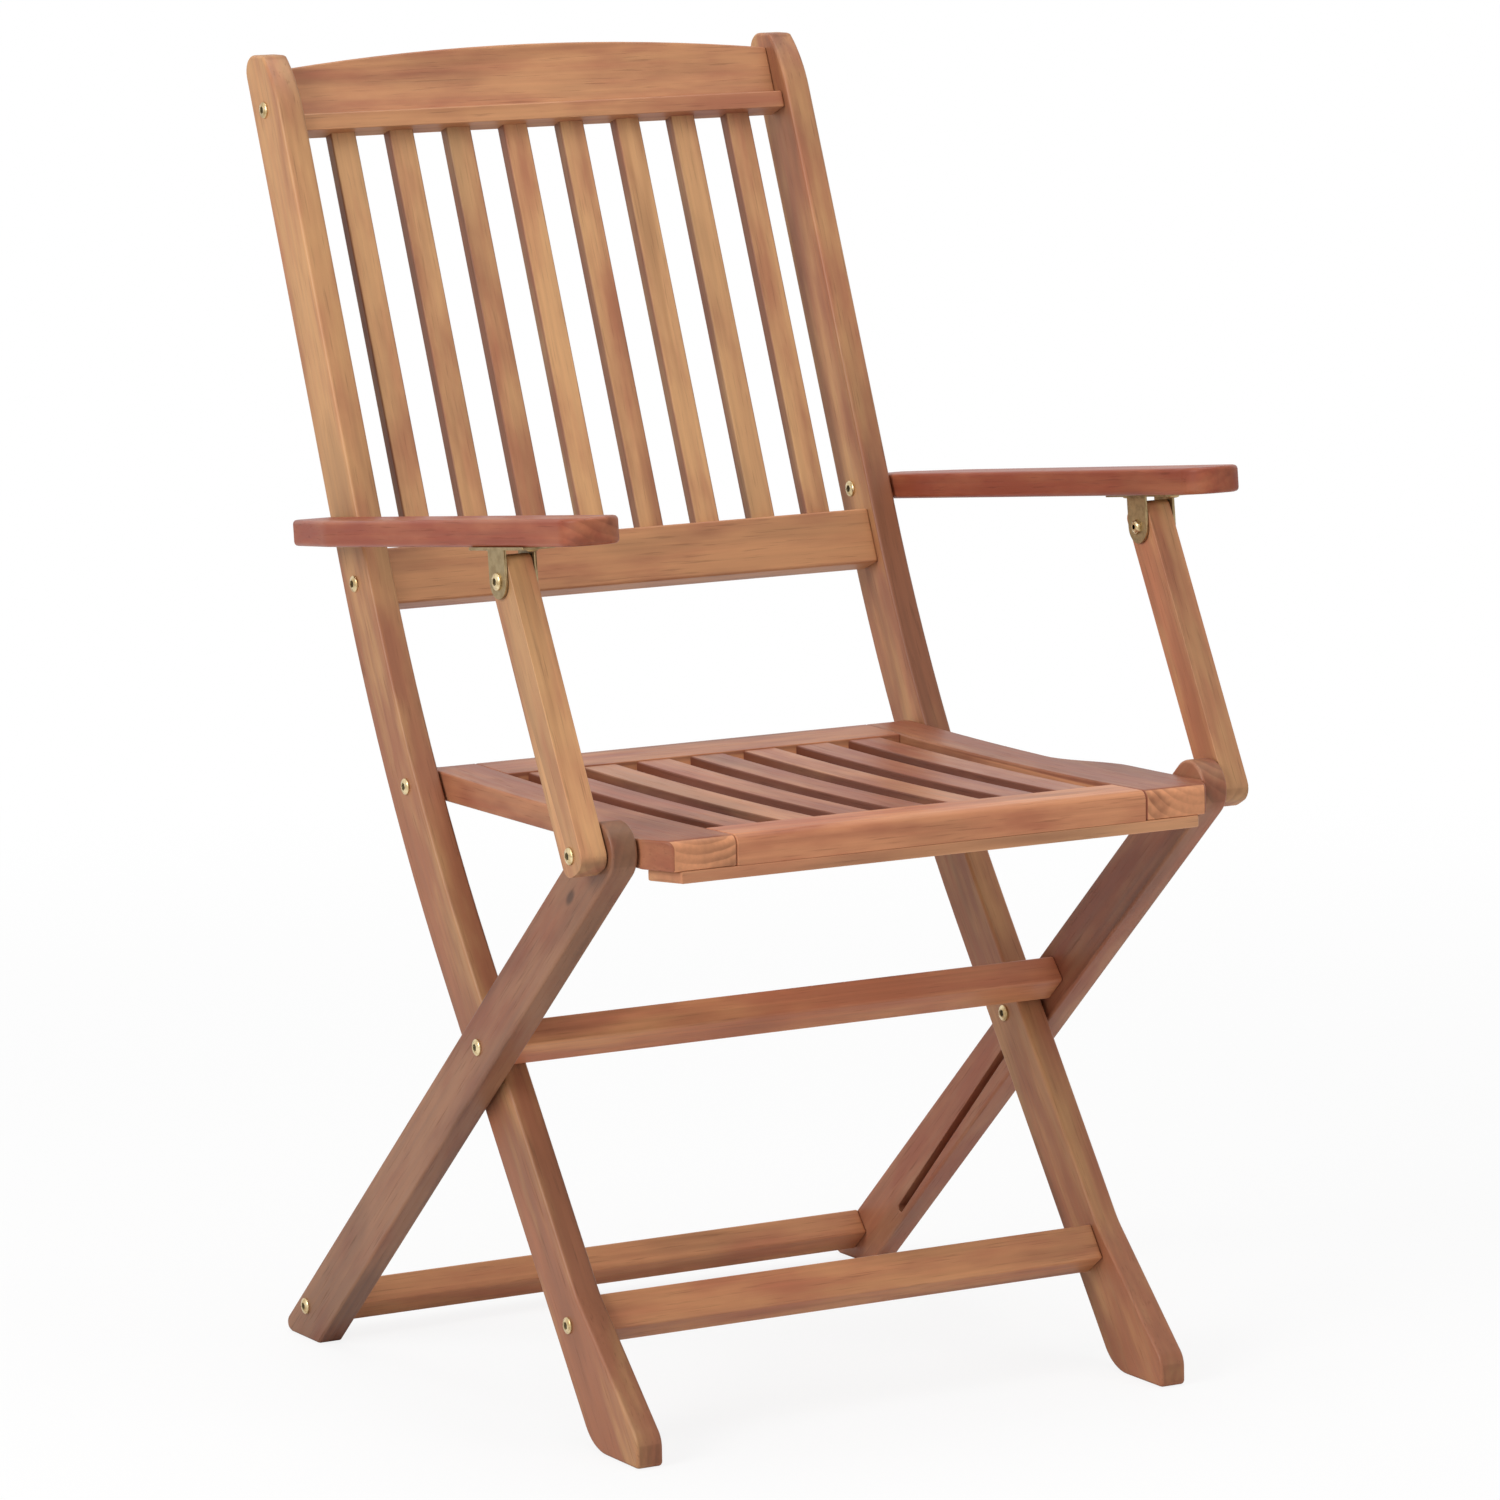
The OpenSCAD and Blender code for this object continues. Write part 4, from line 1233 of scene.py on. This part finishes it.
@dataclass(frozen=True)
class Bolt:
    """Place and sizes of one bolt or screw, with the sizes of its nut at 0 without one."""

    seat: np.ndarray
    outward: np.ndarray
    head: float
    height: float
    shank: float
    reach: float
    nut: float
    nut_height: float

    @classmethod
    def measured(cls, points: np.ndarray) -> "Bolt":
        """Measures a bolt, of which the head is the widest part, from its vertices.

        Args:
            points: The vertices of the bolt.

        Returns:
            Its place and sizes.
        """
        middle = (points.max(0) + points.min(0)) / 2
        axis = np.linalg.svd(points - points.mean(0), full_matrices=False)[2][0]
        for square in np.eye(3):
            if abs(axis @ square) > ALIGNED:
                axis = square
        run = (points - middle) @ axis
        away = np.linalg.norm(points - middle - np.outer(run, axis), axis=1)
        widest = away > 0.95 * away.max()
        if run[widest].mean() < 0.0:
            axis, run = -axis, -run
        seat = run[widest].min()
        shank = away[np.abs(run - seat) < 2e-4].min()
        nut = (run < seat - 1e-3) & (away > 1.25 * shank)
        return cls(
            middle + axis * seat, axis, float(2 * away.max()), float(run.max() - seat),
            float(2 * shank), float(seat - run.min()),
            float(2 * away[nut].max()) if nut.any() else 0.0,
            float(np.ptp(run[nut])) if nut.any() else 0.0,
        )


@dataclass
class Fittings:
    """The bolts or screws of one body, turned round their axes."""

    shop: Shop
    name: str
    nodes: list[str]
    socket: float = 0.0047
    around: int = 36
    seed: int = 3

    def islands(self) -> Iterable[np.ndarray]:
        """The separate solids of the nodes.

        Yields:
            The vertices of one solid after another.
        """
        for node in self.nodes:
            bm = self.shop.welded(node)
            for solid in groups(bm.verts, lambda v: [e.other_vert(v) for e in v.link_edges]):
                yield np.array([v.co for v in solid])
            bm.free()

    def tree(self, bolt: Bolt) -> Tree:
        """Builds the tree that turns a bolt of the given one's sizes on each point.

        Args:
            bolt: The bolt whose sizes all of them have.

        Returns:
            The tree.
        """
        t = Tree(self.name + "_turning")
        wide, tall = t.size("Head Diameter", bolt.head), t.size("Head Height", bolt.height)
        thick, flats = t.size("Shank Diameter", bolt.shank), t.size("Socket Width", self.socket)
        rim = t.size("Rim", 0.34)
        seed = t.size("Seed", self.seed)
        material = t.size("Finish", self.shop.finish(self.nodes[0]))

        def dome(share: float) -> tuple[Expr, Expr]:
            """Ring of the domed head at a share of its radius."""
            return wide * (0.5 * share), tall * (rim + (1.0 - rim) * math.sqrt(1 - share ** 2))

        rings = [
            (0.0, tall * 0.2), (flats * 0.96, tall * 0.26), (flats, tall * 0.9),
            (flats * 1.12, tall * 0.965), dome(0.56), dome(0.68), dome(0.8), dome(0.9),
            dome(0.97), dome(0.998), (wide * 0.5, tall * 0.08), (wide * 0.49, 0.0), (0.0, 0.0),
        ]
        cap = t.turned(rings, self.around, (1, 2, 3))
        # Painted shade in the socket, fading out toward its rim
        cap = t.store(cap, "hollow", 1.0 - t.named("ring").step(1.4, 2.3))
        stem = t.turned(
            [(0.0, 0.0), (thick * 0.5, 0.0), (thick * 0.5, -0.97), (thick * 0.42, -1.0),
             (0.0, -1.0)],
            24,
        )
        stem = t.store(stem, "hollow", 0.0)
        facing = t.add(
            "FunctionNodeAlignRotationToVector",
            {"Vector": t.named("outward", "FLOAT_VECTOR")}, axis="Z",
        )
        spin = {"Axis": (0.0, 0.0, 1.0), "Angle": t.chance(0.0, 1.05, seed)}
        spin = t.add("FunctionNodeAxisAngleToRotation", spin)
        spun = t.add("FunctionNodeRotateRotation", {0: facing, 1: spin}, rotation_space="LOCAL")
        reach = t.named("reach")
        parts = [t.put(cap, spun), t.put(stem, facing, t.join(1.0, 1.0, reach))]
        if bolt.nut > 0.0:
            outer, deep = t.size("Nut Diameter", bolt.nut), t.size("Nut Height", bolt.nut_height)
            sides = outer * math.cos(math.pi / 6)
            nut = t.turned(
                [(0.0, deep), (sides, deep), (sides, deep * 0.6), (outer * 0.41, deep * 0.3),
                 (outer * 0.3, deep * 0.08), (outer * 0.16, 0.0), (0.0, 0.0)],
                self.around, (1, 2),
            )
            nuts = t.put(t.store(nut, "hollow", 0.0), facing)
            tip = {"Instances": nuts, "Translation": t.join(0.0, 0.0, 0.0 - reach)}
            parts.append(t.add("GeometryNodeTranslateInstances", tip))
        t.finish(t.together(*parts), material)
        return t

    def build(self) -> None:
        """Turns the bolts and lets them stand for their nodes."""
        bolts = [Bolt.measured(points) for points in self.islands()]
        mesh = cloud(
            self.name, [bolt.seat for bolt in bolts],
            outward=[bolt.outward for bolt in bolts], reach=[bolt.reach for bolt in bolts],
        )
        piece = self.tree(bolts[0]).grow(self.name, mesh)
        soften(piece)
        self.shop.place(piece, self.nodes)
        log.info("%s: %d like %s", self.name, len(bolts), bolts[0])


@dataclass
class Studio:
    """Pale floor, soft lamps, white surroundings and the camera of the photograph."""

    focal_share: float = 6930.2 / 1500
    sensor: float = 36.0
    azimuth: float = math.radians(-29.02)
    elevation: float = math.radians(8.638)
    roll: float = math.radians(-1.011)
    distance: float = 4.7759
    target: tuple[float, float, float] = (0.01748, -0.00283, 0.424)
    ambient: float = 0.43

    def camera(self) -> None:
        """Sets the camera where the photograph was taken."""
        az, el, roll = self.azimuth, self.elevation, self.roll
        back = Vector((math.sin(az) * math.cos(el), -math.cos(az) * math.cos(el), math.sin(el)))
        side = (-back).cross(Vector((0, 0, 1))).normalized()
        up = side.cross(-back)
        right = math.cos(roll) * side + math.sin(roll) * up
        top = -math.sin(roll) * side + math.cos(roll) * up
        turn = Matrix((right, top, back)).transposed().to_4x4()
        data = bpy.data.cameras.new("photo_camera")
        data.sensor_fit = "HORIZONTAL"
        data.sensor_width = self.sensor
        data.lens = self.focal_share * self.sensor
        data.clip_end = 60.0
        eye = bpy.data.objects.new("photo_camera", data)
        eye.matrix_world = Matrix.Translation(Vector(self.target) + back * self.distance) @ turn
        bpy.context.scene.collection.objects.link(eye)
        bpy.context.scene.camera = eye

    def floor(self) -> None:
        """Lays a round pale floor that fades into the white surroundings."""
        bm = bmesh.new()
        bmesh.ops.create_circle(bm, cap_ends=True, segments=96, radius=9.0)
        mesh = bpy.data.meshes.new("floor")
        bm.to_mesh(mesh)
        bm.free()
        made = bpy.data.materials.new("pale_floor")
        g = emptied(made)
        place = g.add("ShaderNodeTexCoord", output="Object")
        far = g.vector("LENGTH", place, output=1).step(0.7, 2.6)
        seen = g.add("ShaderNodeLightPath", output="Is Camera Ray")
        matt = g.add("ShaderNodeBsdfDiffuse", {"Color": (0.93, 0.93, 0.93, 1.0)})
        white = g.add("ShaderNodeEmission", {"Color": WHITE, "Strength": 1.0})
        blend = g.add("ShaderNodeMixShader", {0: (far * 0.14 + 0.86) * seen, 1: matt, 2: white})
        g.add("ShaderNodeOutputMaterial", {"Surface": blend})
        mesh.materials.append(made)
        piece = shown("floor", mesh)
        piece.location.z = -0.0004

    def world(self) -> None:
        """Surrounds the chair with white that lights it softly."""
        world = bpy.data.worlds.new("white_room")
        bpy.context.scene.world = world
        g = emptied(world)
        rays = ("Is Camera Ray", "Is Glossy Ray", "Is Transmission Ray")
        seen, glossy, through = (g.add("ShaderNodeLightPath", output=ray) for ray in rays)
        dim = g.add("ShaderNodeBackground", {"Color": WHITE, "Strength": self.ambient})
        full = g.add("ShaderNodeBackground", {"Color": WHITE, "Strength": 1.0})
        bright = (seen + (glossy + through)).held()
        both = g.add("ShaderNodeMixShader", {0: bright, 1: dim, 2: full})
        g.add("ShaderNodeOutputWorld", {"Surface": both})

    def lamp(self, name: str, place: tuple[float, float, float], size: float, power: float) -> None:
        """Hangs a square soft lamp that faces the chair.

        Args:
            name: The lamp's name.
            place: Where it hangs.
            size: The side of its square.
            power: Its power in watts.
        """
        data = bpy.data.lights.new(name, "AREA")
        data.shape = "SQUARE"
        data.size = size
        data.energy = power
        lamp = bpy.data.objects.new(name, data)
        lamp.location = place
        aim = Vector((0.0, 0.0, 0.45)) - Vector(place)
        lamp.rotation_euler = aim.to_track_quat("-Z", "Y").to_euler()
        bpy.context.scene.collection.objects.link(lamp)

    def build(self) -> None:
        """Sets up the floor, the lamps, the surroundings and the camera."""
        self.camera()
        self.floor()
        self.world()
        self.lamp("key_lamp", (-3.55, -0.85, 2.1), 1.8, 83.0)
        self.lamp("top_lamp", (0.2, -0.2, 3.5), 2.2, 50.0)
        self.lamp("fill_lamp", (1.6, -3.6, 1.3), 2.0, 6.0)
        bpy.context.scene.view_settings.view_transform = "Standard"


def main() -> None:
    """Builds the chair's looks around the CAD frame and sets up the studio."""
    logging.basicConfig(level=logging.INFO, format="%(name)s %(message)s")
    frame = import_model()
    shop = Shop(frame)
    BackFrame(shop, 1).build()
    Seat(shop, 7).build()
    RearLegs(shop, 13).build()
    for number, side in enumerate(("left", "right")):
        Arm(shop, 50 + number, side).build()
        Strut(shop, 60 + number, side).build()
        Fittings(shop, side + "_strut_pivot", [side + "_strut_bolt"]).build()
        Fittings(shop, side + "_plate_screws", [side + "_bracket_screws"], 0.002, 20).build()
    Fittings(
        shop, "back_frame_bolts",
        ["crest_bolts", "back_rail_bolts", "front_stretcher_bolts", "seat_pivot_bolts",
         "arm_pivot_bolts", "guide_pins"],
    ).build()
    Fittings(shop, "seat_corner_bolts", ["leg_pivot_bolts"]).build()
    Fittings(shop, "leg_bolts", ["upper_stretcher_bolts", "lower_stretcher_bolts"]).build()
    Fittings(shop, "seat_batten_screws", ["batten_screws"], 0.002, 20).build()
    for node in ("arm_washers", "leg_washers", "seat_washers"):
        shop.keep(node)
    Studio().build()
    bpy.context.view_layer.update()


if __name__ == "__main__":
    main()
